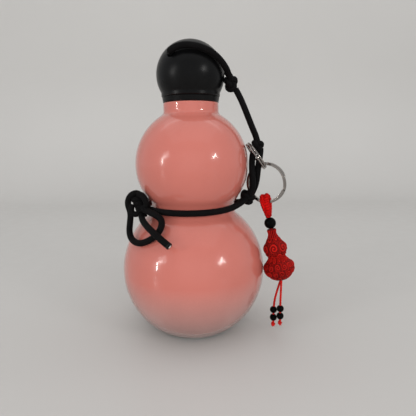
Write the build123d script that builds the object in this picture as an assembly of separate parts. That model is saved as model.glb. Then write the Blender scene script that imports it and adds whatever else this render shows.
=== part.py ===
from build123d import *

import os
from math import asin, atan2, cos, hypot, pi, radians, sin, sqrt, tan

# A double-gourd glass water bottle with a black ball cap. A black cord ties the cap to a small
# split ring, a knot beside the waist and a bow on the other side. A large split ring carries a
# red carved gourd charm that leans on the glass.
# Millimetres, +Z up. The origin is the middle of the flat base, on the bottle's axis.
# The front of the bottle faces -Y and the rings hang at +X.

# Glass bottle
LOWER_R = 50.0
UPPER_R = 38.8
BULB_PITCH = 73.8
BASE_R = 23.0
WAIST_FILLET_R = 8.0
GLASS_WALL = 2.5
BASE_WALL = 4.0
BASE_EDGE_R = 1.2
BORE_R = 13.2
FINISH_WALL = 3.0
FINISH_H = 13.7
LEDGE_W = 2.4
NECK_RISE = 41.1
NECK_FILLET_R = 3.5
SHOULDER_FILLET_R = 5.0
LIP_R = 1.1

# Cap
RIM_GAP = 0.3
THREAD_ROOM = 1.2
CUP_WALL = 1.2
CUP_TOP = 1.5
CUP_FIT = 0.05
COLLAR_WALL = 1.05
COLLAR_BEVEL = 0.5
BALL_BULGE = 3.05
BALL_RISE = 17.8
BALL_WALL = 2.0
BAND_H = 3.7
BAND_INSET = 0.4
BAND_TAPER = 0.55
BAND_BEVEL = 0.35
SEAL_PLAY = 0.5
SEAL_OVERHANG = 1.7
SEAL_THICK = 1.5
SEAL_GAP = 0.1
HOLE_R = 3.0
HOLE_RISE = 11.4
HOLE_ANGLE = 55.5

# Black cord and its knots
CORD_R = 2.0
KNOT_TURN_R = 2.2
KNOT_TURNS = 2
BOW_KNOT_TURN_R = 2.7
BOW_KNOT_TURNS = 4
KNOT_TURN_PITCH = 3.0
KNOT_TILT = 28.0
TIP_H = 1.4
TIP_R = 1.9
TIP_BEVEL = 0.5

# Each arc of a cord's route takes this share of the shorter of its two runs
CORNER_RUN_SHARE = 0.45

# Split rings: two turns of flat wire with one step between them
COIL_GAP = 0.45
STEP_ANGLE = 20.0
SMALL_RING_R = 10.5
SMALL_WIRE_W = 1.6
SMALL_WIRE_T = 1.1
SMALL_RING_OUT = 4.6
SMALL_RING_UP = 5.6
SMALL_RING_FRONT = 9.0
SMALL_RING_TILT = 54.2
LARGE_RING_R = 14.0
LARGE_WIRE_W = 2.0
LARGE_WIRE_T = 1.0
LARGE_RING_OUT = 1.3
LARGE_RING_TURN = 28.0
WIRE_BEVEL = 0.3
STEP_SHARES = (0, 0.25, 0.5, 0.75, 1)
LINK_GAP = 0.3

# Charm
LEAN_GAP = 0.3
BRAID_DROP = 9.4
BRAID_W = 7.0
BRAID_WALL = 1.6
BRAID_TIP_R = 1.1
TUNNEL_R = 2.2
TUNNEL_REACH = 3.1
LINE_R = 0.9
LINE_GAP = 0.4
BEAD_R = 4.0
BEAD_BORE_R = 1.2
PENDANT_H = 35.4
PENDANT_GAP = 0.15
PENDANT_LIP_R = 3.2
PENDANT_NECK_R = 2.7
PENDANT_UPPER_R = 7.8
PENDANT_WAIST_R = 5.8
PENDANT_LOWER_R = 10.4
PENDANT_FOOT_R = 4.2
PENDANT_BORE_R = 1.3
SHOULDER_R_SHARE = 0.5
BULB_FOOT_R_SHARE = 0.86
LOWER_FOOT_R_SHARE = 0.76
LOWER_BULB_SHARE = 0.715
PENDANT_DROP_SHARES = (0, 0.09, 0.2, 0.345, 0.475, 0.54, LOWER_BULB_SHARE, 0.9, 1)

# Tassel: two strings, each with two beads and an end knot
STRING_R = 0.65
STRING_GAP = 0.5
TASSEL_GAP = 0.9
TASSEL_BEAD_R = 2.5
TASSEL_BORE_R = 0.8
END_KNOT_R = 1.5
END_KNOT_H = 2.6
END_KNOT_ROUND = 0.6
STRING_SPREAD = 0.8
STRING_OUT_SHARE = 0.66
STRING_BEND_SHARE = 0.48
RIGHT_BEAD_DROPS = (21.3, 26.7)
LEFT_BEAD_DROPS = (23.3, 29.1)
RIGHT_KNOT_DROP = 30.6
LEFT_KNOT_DROP = 33.0
RIGHT_STRING_SIDE = -0.6
LEFT_STRING_SIDE = -4.8
RIGHT_STRING_FRONT = 1.9
LEFT_STRING_FRONT = -1.1

CUT_OVER = 1.0

# Radii and heights that follow from the sizes above: the cap is built outwards from the finish
finish_r = BORE_R + FINISH_WALL
neck_r = finish_r + LEDGE_W
cup_bore_r = finish_r + THREAD_ROOM
cup_r = cup_bore_r + CUP_WALL
skirt_r = cup_r + CUP_FIT
collar_r = skirt_r + COLLAR_WALL
ball_r = collar_r + BALL_BULGE
band_r = collar_r - BAND_INSET
band_rim_r = band_r - BAND_TAPER
seal_r = cup_bore_r - SEAL_PLAY
seal_bore_r = BORE_R - SEAL_OVERHANG
lower_z = sqrt(LOWER_R**2 - BASE_R**2)
upper_z = lower_z + BULB_PITCH
ledge_z = upper_z + NECK_RISE
mouth_z = ledge_z + FINISH_H
rim_z = ledge_z + RIM_GAP
band_z = rim_z + BAND_H
ball_z = rim_z + BALL_RISE
ceiling_z = mouth_z + SEAL_THICK + 2 * SEAL_GAP

# Cord routes, chosen by hand. The first and last points lie inside the knots that they join.
CAP_KNOT = (26.4, -2.4, 171.8)
RING_KNOT = (44.5, -8.7, 131.0)
WAIST_KNOT = (38.0, -9.8, 96.6)
BOW_KNOT = (-33.5, -16.2, 93.0)

CAP_LOOP_ROUTE = [
    (26.1, -4.4, 173.4), (24.6, -8.6, 177.4), (21.2, -14.8, 181.4), (15.4, -20.2, 185.4), (8.0, -22.8, 189.0),
    (0.8, -23.4, 190.8), (-5.2, -24.0, 191.4), (-11.6, -23.4, 190.6), (-12.6, -18.4, 188.8),
    (12.6, 18.4, 188.8), (19.4, 18.6, 186.4), (24.8, 11.8, 181.4), (27.6, 4.4, 176.8), (27.2, 0.2, 173.2),
]
LEASH_ROUTE = [
    (30.0, -3.0, 167.9), (32.6, -3.5, 163.4), (35.6, -4.4, 156.4), (38.7, -5.6, 148.4), (41.6, -6.9, 141.0),
    (43.4, -7.9, 136.6), (44.3, -8.4, 132.9),
]
LEFT_STRAND_ROUTE = [
    (42.2, -9.8, 129.0), (40.9, -10.4, 125.2), (40.2, -12.0, 119.6), (40.2, -13.6, 113.4), (40.8, -13.9, 107.0),
    (40.6, -13.4, 101.6), (38.9, -12.4, 98.4),
]
RIGHT_STRAND_ROUTE = [
    (46.4, -8.4, 128.6), (46.0, -10.2, 124.8), (44.8, -11.8, 119.4), (44.2, -11.4, 113.0), (43.8, -9.6, 106.8),
    (42.4, -8.2, 101.4), (40.4, -8.6, 97.8),
]
WAIST_FRONT_ROUTE = [
    (36.6, -11.6, 95.2), (31.9, -15.4, 92.4), (24.7, -22.9, 90.2), (11.4, -31.6, 89.5), (-5.6, -33.2, 89.4),
    (-20.4, -26.2, 89.5), (-28.6, -17.4, 90.0), (-32.0, -13.2, 90.6),
]
WAIST_BACK_ROUTE = [
    (36.8, -7.2, 95.4), (34.6, -0.4, 91.6), (31.6, 11.2, 89.6), (22.6, 24.6, 89.4), (7.2, 32.6, 89.4),
    (-10.0, 31.6, 89.4), (-24.4, 22.6, 89.5), (-32.4, 8.6, 89.7), (-35.0, -4.2, 90.2), (-34.5, -12.4, 91.4),
]
BOW_LOOP_ROUTE = [
    (-33.2, -15.0, 97.6), (-34.6, -16.6, 100.4), (-37.8, -17.2, 100.9), (-41.3, -16.8, 98.4), (-42.9, -16.2, 93.4),
    (-40.7, -17.0, 87.6), (-41.2, -18.6, 81.4), (-41.6, -20.8, 75.6), (-39.6, -25.0, 71.4), (-34.2, -31.0, 69.9),
    (-28.0, -35.0, 72.2), (-22.2, -37.0, 76.0), (-18.2, -36.0, 81.2), (-18.2, -33.2, 86.0), (-22.6, -29.8, 88.4),
    (-27.4, -25.2, 89.4), (-31.4, -20.6, 90.5),
]
BOW_TAIL_ROUTE = [
    (-33.9, -16.8, 87.6), (-32.9, -21.8, 84.6), (-28.8, -31.4, 82.2), (-23.8, -40.0, 80.2), (-19.6, -44.6, 77.8),
    (-16.2, -46.8, 75.4), (-13.2, -48.0, 73.2),
]

CAP_KNOT_ALONG = (0.68, -0.12, -0.72)
RING_KNOT_ALONG = (0.1, -0.1, -1.0)
WAIST_KNOT_ALONG = (0.6, 0.1, -0.8)
BOW_KNOT_ALONG = (0.5, -0.05, -0.86)
CORD_ROUTES = {
    "cap_loop_cord": CAP_LOOP_ROUTE, "leash_cord": LEASH_ROUTE, "left_strand": LEFT_STRAND_ROUTE,
    "right_strand": RIGHT_STRAND_ROUTE, "waist_cord_front": WAIST_FRONT_ROUTE,
    "waist_cord_back": WAIST_BACK_ROUTE, "bow_loop": BOW_LOOP_ROUTE, "bow_tail": BOW_TAIL_ROUTE,
}


def unit(vector):
    return Vector(vector).normalized()


def turn_at(before, corner, after):
    """The angle in degrees by which a route turns at one of its points."""
    return (corner - before).get_angle(after - corner)


def cord_tube(name, points, radius):
    """A round tube along a route of points: straight runs joined by tangent arcs."""
    points = [Vector(point) for point in points]
    radii = []
    for before, corner, after in zip(points, points[1:], points[2:]):
        shorter_run = min((corner - before).length, (after - corner).length)
        half_turn = radians(turn_at(before, corner, after) / 2)
        radii.append(CORNER_RUN_SHARE * shorter_run / tan(half_turn))
    path = FilletPolyline(*points, radius=radii)
    tube = sweep(Plane(path @ 0, z_dir=path % 0) * Circle(radius), path=path)
    whole = pi * radius**2 * path.length
    print(f"{name}: length {path.length:.1f}, tightest arc {min(radii):.1f}")
    print(f"    volume {tube.volume:.0f} against section times length {whole:.0f}")
    return tube


def arc(centre, start, end):
    """The shorter arc about a centre from start to end, in an outline of radius and height."""
    from_centre = Vector(start) - Vector(centre)
    middle = Vector(centre) + unit(from_centre + Vector(end) - Vector(centre)) * from_centre.length
    return ThreePointArc(start, middle, end)


def revolved(*outline):
    """A solid of revolution about Z from a closed outline of radius and height."""
    return revolve(Plane.XZ * make_face(outline), axis=Axis.Z)


def gourd_side(inset, base, tube_r, fillet_r):
    """The bottle's side from base to neck tube, inset from the outside by a wall."""
    low_r, high_r, waist_r = LOWER_R - inset, UPPER_R - inset, WAIST_FILLET_R + inset
    low_reach, high_reach = low_r + waist_r, high_r + waist_r
    rise = (BULB_PITCH**2 + low_reach**2 - high_reach**2) / (2 * BULB_PITCH)
    low_centre, high_centre = (0, lower_z), (0, upper_z)
    waist_centre = (sqrt(low_reach**2 - rise**2), lower_z + rise)
    low_join = (waist_centre[0] * low_r / low_reach, lower_z + rise * low_r / low_reach)
    high_join = (waist_centre[0] * high_r / high_reach, upper_z - (BULB_PITCH - rise) * high_r / high_reach)
    neck_reach = high_r + fillet_r
    neck_centre = (tube_r + fillet_r, upper_z + sqrt(neck_reach**2 - (tube_r + fillet_r) ** 2))
    shoulder = (neck_centre[0] * high_r / neck_reach, upper_z + (neck_centre[1] - upper_z) * high_r / neck_reach)
    neck = (tube_r, neck_centre[1])
    side = [
        arc(low_centre, base, low_join),
        arc(waist_centre, low_join, high_join),
        arc(high_centre, high_join, shoulder),
        arc(neck_centre, shoulder, neck),
    ]
    return side, neck


def glass_bottle():
    """The blown bottle, with a plain neck ring and a narrower finish for the cap's thread."""
    base, ledge, lip = (BASE_R, 0), (finish_r, ledge_z), (finish_r, mouth_z)
    side, neck = gourd_side(0, base, neck_r, NECK_FILLET_R)
    outside = revolved(
        Line((0, 0), base), *side, Line(neck, (neck_r, ledge_z)), Line((neck_r, ledge_z), ledge),
        Line(ledge, lip), Line(lip, (0, mouth_z)), Line((0, mouth_z), (0, 0)),
    )
    floor = (sqrt((LOWER_R - GLASS_WALL) ** 2 - (lower_z - BASE_WALL) ** 2), BASE_WALL)
    side, neck = gourd_side(GLASS_WALL, floor, BORE_R, SHOULDER_FILLET_R)
    top = mouth_z + CUT_OVER
    inside = revolved(
        Line((0, BASE_WALL), floor), *side, Line(neck, (BORE_R, top)), Line((BORE_R, top), (0, top)),
        Line((0, top), (0, BASE_WALL)),
    )
    bottle = outside - inside
    bottle = fillet(bottle.edges().filter_by(GeomType.CIRCLE).group_by(Axis.Z)[-1], LIP_R)
    return fillet(bottle.edges().filter_by(GeomType.CIRCLE).group_by(Axis.Z)[0], BASE_EDGE_R)


def cap_thread_cup():
    """The screwed cup inside the ball, whose lower band shows under the ball's collar."""
    top_z = ceiling_z + CUP_TOP
    cup = revolved(
        Line((cup_bore_r, rim_z), (band_rim_r, rim_z)),
        Line((band_rim_r, rim_z), (band_r, band_z - BAND_BEVEL)),
        Line((band_r, band_z - BAND_BEVEL), (band_r - BAND_BEVEL, band_z)),
        Line((band_r - BAND_BEVEL, band_z), (cup_r, band_z)),
        Line((cup_r, band_z), (cup_r, top_z)),
        Line((cup_r, top_z), (0, top_z)),
        Line((0, top_z), (0, ceiling_z)),
        Line((0, ceiling_z), (cup_bore_r, ceiling_z)),
        Line((cup_bore_r, ceiling_z), (cup_bore_r, rim_z)),
    )
    return cup


def cap_ball():
    """The hollow ball, its collar, and the hole that the cord runs through from side to side."""
    inner_r = ball_r - BALL_WALL
    centre, outer_top, inner_top = (0, ball_z), (0, ball_z + ball_r), (0, ball_z + inner_r)
    collar = (collar_r, ball_z - sqrt(ball_r**2 - collar_r**2))
    skirt = (skirt_r, ball_z - sqrt(inner_r**2 - skirt_r**2))
    bevel_low, bevel_high = (collar_r - COLLAR_BEVEL, band_z), (collar_r, band_z + COLLAR_BEVEL)
    ball = revolved(
        Line((skirt_r, band_z), bevel_low), Line(bevel_low, bevel_high), Line(bevel_high, collar),
        arc(centre, collar, outer_top), Line(outer_top, inner_top), arc(centre, inner_top, skirt),
        Line(skirt, (skirt_r, band_z)),
    )
    across = (cos(radians(HOLE_ANGLE)), sin(radians(HOLE_ANGLE)), 0)
    return ball - Plane((0, 0, ball_z + HOLE_RISE), z_dir=across) * Cylinder(HOLE_R, 2 * ball_r)


def cap_seal_ring():
    low_z = mouth_z + SEAL_GAP
    return Pos(0, 0, low_z + SEAL_THICK / 2) * (
        Cylinder(seal_r, SEAL_THICK) - Cylinder(seal_bore_r, SEAL_THICK + CUT_OVER)
    )


def knot(centre, along, turns=KNOT_TURNS, turn_r=KNOT_TURN_R):
    """A pulled-tight knot: turns of cord laid round a core, each leaning the other way."""
    lump = Cylinder(turn_r, (turns - 1) * KNOT_TURN_PITCH + CORD_R)
    for index in range(turns):
        height = (index - (turns - 1) / 2) * KNOT_TURN_PITCH
        lean = KNOT_TILT if index % 2 else -KNOT_TILT
        lump += Pos(0, 0, height) * Rot(lean, lean / 2, 0) * Torus(turn_r, CORD_R)
    return Plane(centre, z_dir=along) * lump


def bow_tip():
    """The cut end of the cord, melted into a blunt bead."""
    end, before = Vector(BOW_TAIL_ROUTE[-1]), Vector(BOW_TAIL_ROUTE[-2])
    tip = Pos(0, 0, TIP_H / 2) * Cylinder(TIP_R, TIP_H)
    tip = chamfer(tip.edges().group_by(Axis.Z)[-1], TIP_BEVEL)
    return Plane(end, z_dir=end - before) * tip


def wire_section(radius, width, thick, height, bevel):
    """The bevelled wire section of a split ring, on the plane that holds the ring's axis."""
    section = Pos(radius, height) * Rectangle(width, thick)
    return Plane.XZ * chamfer(section.vertices(), bevel)


def split_ring(outer_r, width, thick):
    """Two flat turns of wire about Z joined by one step, as a key ring is wound."""
    radius = outer_r - width / 2
    half = (thick + COIL_GAP) / 2
    low = revolve(wire_section(radius, width, thick, -half, WIRE_BEVEL), Axis.Z, 360 - 2 * STEP_ANGLE)
    high = revolve(wire_section(radius, width, thick, half, WIRE_BEVEL), Axis.Z, 360 - 2 * STEP_ANGLE)
    low, high = Rot(0, 0, STEP_ANGLE) * low, Rot(0, 0, STEP_ANGLE) * high
    sections = []
    for share in STEP_SHARES:
        angle = -STEP_ANGLE + 2 * STEP_ANGLE * share
        height = half * (1 - cos(pi * share)) - half
        sections.append(Rot(0, 0, angle) * wire_section(radius, width, thick, height, WIRE_BEVEL))
    step = loft(sections)
    return low + step + high


# The small ring hangs tilted on the two strands, its low end outward
small_wire_r = SMALL_RING_R - SMALL_WIRE_W / 2
small_thick = 2 * SMALL_WIRE_T + COIL_GAP
small_tilt = radians(SMALL_RING_TILT)
small_down = Vector(cos(small_tilt), 0, -sin(small_tilt))
small_normal = Vector(sin(small_tilt), 0, cos(small_tilt))
small_centre = Vector(UPPER_R + SMALL_RING_OUT, -SMALL_RING_FRONT, upper_z + SMALL_RING_UP)
small_pivot = small_centre - small_down * small_wire_r
small_low = small_centre + small_down * small_wire_r

# The large ring hangs in the low end of the small one, turned from the front
large_wire_r = LARGE_RING_R - LARGE_WIRE_W / 2
small_sag = SMALL_WIRE_W / 2 * sin(small_tilt) + small_thick / 2 * cos(small_tilt)
large_top = small_low + Vector(LARGE_RING_OUT, 0, small_sag + LARGE_WIRE_W / 2 + LINK_GAP)
large_centre = large_top - Vector(0, 0, large_wire_r)
large_side = Vector(cos(radians(LARGE_RING_TURN)), -sin(radians(LARGE_RING_TURN)), 0)
large_normal = Vector(sin(radians(LARGE_RING_TURN)), cos(radians(LARGE_RING_TURN)), 0)
charm_pivot = large_centre - Vector(0, 0, large_wire_r)

# The charm hangs in the plane of the large ring and leans until the pendant meets the glass
bead_drop = BRAID_DROP + BRAID_TIP_R + LINE_GAP + BEAD_R
pendant_drop = bead_drop + BEAD_R + PENDANT_GAP
pendant_end = pendant_drop + PENDANT_H
lean_drop = pendant_drop + LOWER_BULB_SHARE * PENDANT_H
from_bulb = charm_pivot - Vector(0, 0, lower_z)
touch = LOWER_R + PENDANT_LOWER_R + LEAN_GAP
lean_need = (touch**2 - from_bulb.length**2 - lean_drop**2) / (2 * lean_drop)
lean_reach = hypot(from_bulb.dot(large_side), from_bulb.Z)
charm_lean = asin(lean_need / lean_reach) + atan2(from_bulb.Z, from_bulb.dot(large_side))
charm_down = large_side * sin(charm_lean) - Vector(0, 0, cos(charm_lean))
charm_across = large_side * cos(charm_lean) + Vector(0, 0, sin(charm_lean))
sway_pivot = charm_pivot + charm_down * BRAID_DROP
tassel_pivot = charm_pivot + charm_down * pendant_end


def charm_frame(drop):
    """A plane on the charm's line: X across the braid, Z back up the line."""
    return Plane(charm_pivot + charm_down * drop, x_dir=charm_across, z_dir=-charm_down)


def charm_braid():
    """A flat braid folded over the ring's wire and tapered down to the bead."""
    top = TUNNEL_REACH + BRAID_WALL
    half_thick = TUNNEL_R + BRAID_WALL
    half_wide = BRAID_W / 2
    side = make_face([
        ThreePointArc((-half_thick, 0), (0, top), (half_thick, 0)),
        Line((half_thick, 0), (BRAID_TIP_R, -BRAID_DROP)),
        ThreePointArc((BRAID_TIP_R, -BRAID_DROP), (0, -BRAID_DROP - BRAID_TIP_R), (-BRAID_TIP_R, -BRAID_DROP)),
        Line((-BRAID_TIP_R, -BRAID_DROP), (-half_thick, 0)),
    ])
    front = make_face([
        ThreePointArc((-half_wide, 0), (0, top), (half_wide, 0)),
        Line((half_wide, 0), (BRAID_TIP_R, -BRAID_DROP)),
        ThreePointArc((BRAID_TIP_R, -BRAID_DROP), (0, -BRAID_DROP - BRAID_TIP_R), (-BRAID_TIP_R, -BRAID_DROP)),
        Line((-BRAID_TIP_R, -BRAID_DROP), (-half_wide, 0)),
    ])
    band = extrude(Plane.YZ * side, half_wide, both=True) & extrude(Plane.XZ * front, half_thick, both=True)
    tunnel = extrude(Plane.YZ * SlotCenterToCenter(2 * (TUNNEL_REACH - TUNNEL_R), 2 * TUNNEL_R, rotation=90),
                     BRAID_W, both=True)
    return charm_frame(0) * (band - tunnel)


def charm_line():
    """The doubled string from the braid down through the bead and the pendant."""
    start = BRAID_DROP + BRAID_TIP_R + STRING_GAP
    end = pendant_end - END_KNOT_H
    middle = (start + end) / 2
    return charm_frame(middle) * Cylinder(LINE_R, end - start)


def bored_bead(radius, bore_r):
    return Sphere(radius) - Cylinder(bore_r, 2 * radius + CUT_OVER)


def gourd_pendant():
    """The gourd charm, bored through for its string."""
    radii = (
        PENDANT_LIP_R, PENDANT_NECK_R, PENDANT_UPPER_R * SHOULDER_R_SHARE, PENDANT_UPPER_R,
        PENDANT_UPPER_R * BULB_FOOT_R_SHARE, PENDANT_WAIST_R, PENDANT_LOWER_R,
        PENDANT_LOWER_R * LOWER_FOOT_R_SHARE, PENDANT_FOOT_R,
    )
    rims = [(radius, -share * PENDANT_H) for radius, share in zip(radii, PENDANT_DROP_SHARES)]
    bore_top, bore_foot = (PENDANT_BORE_R, 0), (PENDANT_BORE_R, -PENDANT_H)
    pendant = revolved(
        Line(bore_top, rims[0]), Spline(*rims), Line(rims[-1], bore_foot), Line(bore_foot, bore_top),
    )
    return charm_frame(pendant_drop) * pendant


def charm_bead():
    return charm_frame(bead_drop) * bored_bead(BEAD_R, BEAD_BORE_R)


def below_pendant(side, front, drop):
    """A point under the pendant's hole: sideways along +X, forward along -Y, and down."""
    return tassel_pivot + Vector(side, -front, -drop)


def tassel_string(name, side, front, start_front, bead_drops, knot_drop):
    """One string, from the pendant's hole straight down through its beads to its end knot."""
    bend_drop = bead_drops[0] * STRING_BEND_SHARE
    route = [
        below_pendant(0, start_front, TASSEL_GAP),
        below_pendant(side * STRING_OUT_SHARE, start_front + (front - start_front) * STRING_OUT_SHARE, bend_drop),
        below_pendant(side, front, bead_drops[0] - TASSEL_BEAD_R - STRING_GAP),
        below_pendant(side, front, knot_drop),
    ]
    return cord_tube(name, route, STRING_R)


def tassel_knot(side, front, knot_drop):
    lump = Pos(0, 0, -END_KNOT_H / 2) * Cylinder(END_KNOT_R, END_KNOT_H)
    return Pos(below_pendant(side, front, knot_drop)) * fillet(lump.edges(), END_KNOT_ROUND)


def write(name, solid):
    export_step(solid, f"parts/{name}.step")


def write_tassel():
    """Both strings with their beads and end knots; the beads are numbered from the right string."""
    write("tassel_string_right", tassel_string(
        "tassel_string_right", RIGHT_STRING_SIDE, RIGHT_STRING_FRONT, STRING_SPREAD, RIGHT_BEAD_DROPS,
        RIGHT_KNOT_DROP))
    write("tassel_string_left", tassel_string(
        "tassel_string_left", LEFT_STRING_SIDE, LEFT_STRING_FRONT, -STRING_SPREAD, LEFT_BEAD_DROPS,
        LEFT_KNOT_DROP))
    places = [(RIGHT_STRING_SIDE, RIGHT_STRING_FRONT, drop) for drop in RIGHT_BEAD_DROPS]
    places += [(LEFT_STRING_SIDE, LEFT_STRING_FRONT, drop) for drop in LEFT_BEAD_DROPS]
    for number, place in enumerate(places, start=1):
        write(f"tassel_bead_{number}", Pos(below_pendant(*place)) * bored_bead(TASSEL_BEAD_R, TASSEL_BORE_R))
    write("tassel_knot_right", tassel_knot(RIGHT_STRING_SIDE, RIGHT_STRING_FRONT, RIGHT_KNOT_DROP))
    write("tassel_knot_left", tassel_knot(LEFT_STRING_SIDE, LEFT_STRING_FRONT, LEFT_KNOT_DROP))


os.makedirs("parts", exist_ok=True)
write("glass_bottle", glass_bottle())
write("cap_thread_cup", cap_thread_cup())
write("cap_ball", cap_ball())
write("cap_seal_ring", cap_seal_ring())
write("cap_knot", knot(CAP_KNOT, CAP_KNOT_ALONG))
write("ring_knot", knot(RING_KNOT, RING_KNOT_ALONG))
write("waist_knot", knot(WAIST_KNOT, WAIST_KNOT_ALONG))
write("bow_knot", knot(BOW_KNOT, BOW_KNOT_ALONG, BOW_KNOT_TURNS, BOW_KNOT_TURN_R))
for cord, route in CORD_ROUTES.items():
    write(cord, cord_tube(cord, route, CORD_R))
write("bow_tip", bow_tip())
small_place = Plane(small_centre, x_dir=small_down, z_dir=small_normal)
write("small_split_ring", small_place * split_ring(SMALL_RING_R, SMALL_WIRE_W, SMALL_WIRE_T))
large_place = Plane(large_centre, x_dir=large_side, z_dir=large_normal)
write("large_split_ring", large_place * split_ring(LARGE_RING_R, LARGE_WIRE_W, LARGE_WIRE_T))
write("charm_braid", charm_braid())
write("charm_line", charm_line())
write("charm_bead", charm_bead())
write("gourd_pendant", gourd_pendant())
write_tassel()
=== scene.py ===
# %% [markdown]
# A double-gourd glass water bottle, lacquered pink and paler towards its base, with a black ball
# cap. Black braided cord ties the cap to two split rings and round the waist, where it ends in a
# bow. A red charm with a carved gourd hangs from the larger ring. Every size here is in metres,
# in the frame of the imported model, so that each piece can be set where its solid stands.

# %% The frame and its box
from math import asin, atan2, ceil, cos, hypot, pi, radians, sin, sqrt, tan
import random

import bmesh
import bpy
from mathutils import Euler, Matrix, Vector
import numpy as np


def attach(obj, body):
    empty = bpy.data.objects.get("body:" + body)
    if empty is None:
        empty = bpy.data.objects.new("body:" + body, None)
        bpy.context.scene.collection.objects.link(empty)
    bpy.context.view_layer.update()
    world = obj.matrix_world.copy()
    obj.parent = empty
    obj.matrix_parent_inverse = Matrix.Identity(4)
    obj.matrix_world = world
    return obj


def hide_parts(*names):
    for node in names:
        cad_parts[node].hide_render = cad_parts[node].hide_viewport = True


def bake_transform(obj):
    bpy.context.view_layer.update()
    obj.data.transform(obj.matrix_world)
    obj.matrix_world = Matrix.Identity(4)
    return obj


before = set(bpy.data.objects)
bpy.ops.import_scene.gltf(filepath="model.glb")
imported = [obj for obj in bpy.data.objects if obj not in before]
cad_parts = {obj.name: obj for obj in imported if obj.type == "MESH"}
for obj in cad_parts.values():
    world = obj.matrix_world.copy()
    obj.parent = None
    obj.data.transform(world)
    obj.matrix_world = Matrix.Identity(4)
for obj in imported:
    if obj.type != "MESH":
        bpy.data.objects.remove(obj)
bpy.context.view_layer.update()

# %% [markdown]
# The camera comes first, because everything is compared from it. A photograph's viewpoint can be
# found from things of known shape: the outlines of two balls on one upright axis fix how high
# the camera stood, how far away it was and how it was pitched. It stood close, so the bottle's
# base is seen from above and its cap nearly level.

# %% Camera
PHOTO_SIDE_PX = 416
FOCAL_PX = 380
SENSOR = 36
CLIP_START = 0.01
CAMERA_PLACE = (0.01071, -0.266, 0.1332)
CAMERA_PITCH = 0.171
CAMERA_ROLL = -0.012

camera = bpy.data.objects.new("camera", bpy.data.cameras.new("camera"))
camera.data.sensor_width = SENSOR
camera.data.lens = SENSOR * FOCAL_PX / PHOTO_SIDE_PX
camera.data.clip_start = CLIP_START
looking = Euler((pi / 2 - CAMERA_PITCH, 0, 0)).to_matrix() @ Matrix.Rotation(CAMERA_ROLL, 3, "Z")
camera.matrix_world = Matrix.Translation(CAMERA_PLACE) @ looking.to_4x4()
bpy.context.scene.collection.objects.link(camera)
bpy.context.scene.camera = camera
bpy.context.scene.view_settings.view_transform = "Standard"
print("the lens is", round(camera.data.lens, 1), "mm long")

# %% [markdown]
# A surface in code is a list of points and a list of the faces between them. Nearly everything
# here is rings of points joined to the next ring: an outline turned about an axis, or a section
# carried along a line. One function makes the faces for both, so it is written once.

# %% Faces between rings
def band_faces(rings, closed=False):
    """Faces between each ring of point numbers and the next; a ring of one point is a pole."""
    faces = []
    pairs = list(zip(rings, rings[1:]))
    if closed:
        pairs.append((rings[-1], rings[0]))
    for low, high in pairs:
        sides = max(len(low), len(high))
        for index in range(sides):
            after = (index + 1) % sides
            corners = [low[index % len(low)], low[after % len(low)],
                       high[after % len(high)], high[index % len(high)]]
            faces.append(list(dict.fromkeys(corners)))
    return faces


print("a pole and a ring of six make", len(band_faces([[0], [1, 2, 3, 4, 5, 6]])), "faces")

# %% [markdown]
# A piece is a mesh with a name and a material. It
# could be shaped by hand in Blender, but here every shape comes out of a function as points, faces
# and relief, which is a value at each point, so one function can turn all of them into objects.

# %% Pieces
NEARLY_ALONG = 0.9


def mesh_object(name, made, material, keep_relief=False):
    """A smooth mesh object; its relief is kept where its material reads it."""
    points, faces, relief = made
    mesh = bpy.data.meshes.new(name)
    mesh.from_pydata([tuple(point) for point in points], [], faces)
    mesh.polygons.foreach_set("use_smooth", [True] * len(mesh.polygons))
    if keep_relief:
        mesh.attributes.new("relief", "FLOAT", "POINT").data.foreach_set("value", relief)
    mesh.materials.append(material)
    shaped = bpy.data.objects.new(name, mesh)
    bpy.context.scene.collection.objects.link(shaped)
    return shaped


def new_piece(name, made, material, keep_relief=False):
    """A mesh object that is a piece of the bottle."""
    piece = mesh_object(name, made, material, keep_relief)
    return piece


def stand_for(piece, body, *nodes):
    """The piece rides on its body, if it has just one, and takes the place of its solids."""
    if body:
        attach(piece, body)
    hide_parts(*nodes)
    return piece


def placed(centre, z_dir, x_dir=None):
    """The matrix of a frame at a place, by its Z and, if it matters, its X."""
    up = Vector(z_dir).normalized()
    if x_dir is None:
        x_dir = (1, 0, 0) if abs(up.x) < NEARLY_ALONG else (0, 1, 0)
    side = Vector(x_dir)
    side = (side - up * side.dot(up)).normalized()
    turned = Matrix((side, up.cross(side), up)).transposed()
    return Matrix.Translation(Vector(centre)) @ turned.to_4x4()


print("a frame that faces +X has its own X along", tuple(placed((0, 0, 0), (1, 0, 0)).col[0][:3]))

# %% [markdown]
# A material is a small machine of nodes. Nodes could be placed and joined by hand in the shader
# editor; in code a few helpers do it, so that each material below reads as a short list of what
# it is made of. Noise is read in the object's own space, so it stays put when a piece moves.

# %% Nodes
FLOAT, COLOR = "NodeSocketFloat", "NodeSocketColor"


def node_group(name, inputs, outputs):
    """An empty shader group with float or colour sockets, and its two ends."""
    group = bpy.data.node_groups.new(name, "ShaderNodeTree")
    for title, kind, value in inputs:
        socket = group.interface.new_socket(title, in_out="INPUT", socket_type=kind)
        socket.default_value = value
    for title, kind in outputs:
        group.interface.new_socket(title, in_out="OUTPUT", socket_type=kind)
    return group, group.nodes.new("NodeGroupInput"), group.nodes.new("NodeGroupOutput")


def add(tree, kind, settings=None, **links):
    """A node; each input, by name or as _ and its number, is a value or another node's output."""
    node = tree.nodes.new(kind)
    for key, value in (settings or {}).items():
        setattr(node, key, value)
    for key, value in links.items():
        socket = node.inputs[int(key[1:]) if key[1:].isdigit() else key.replace("_", " ")]
        if isinstance(value, bpy.types.NodeSocket):
            tree.links.new(value, socket)
        else:
            socket.default_value = value
    return node


print("group sockets are", FLOAT, "or", COLOR)

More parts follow.
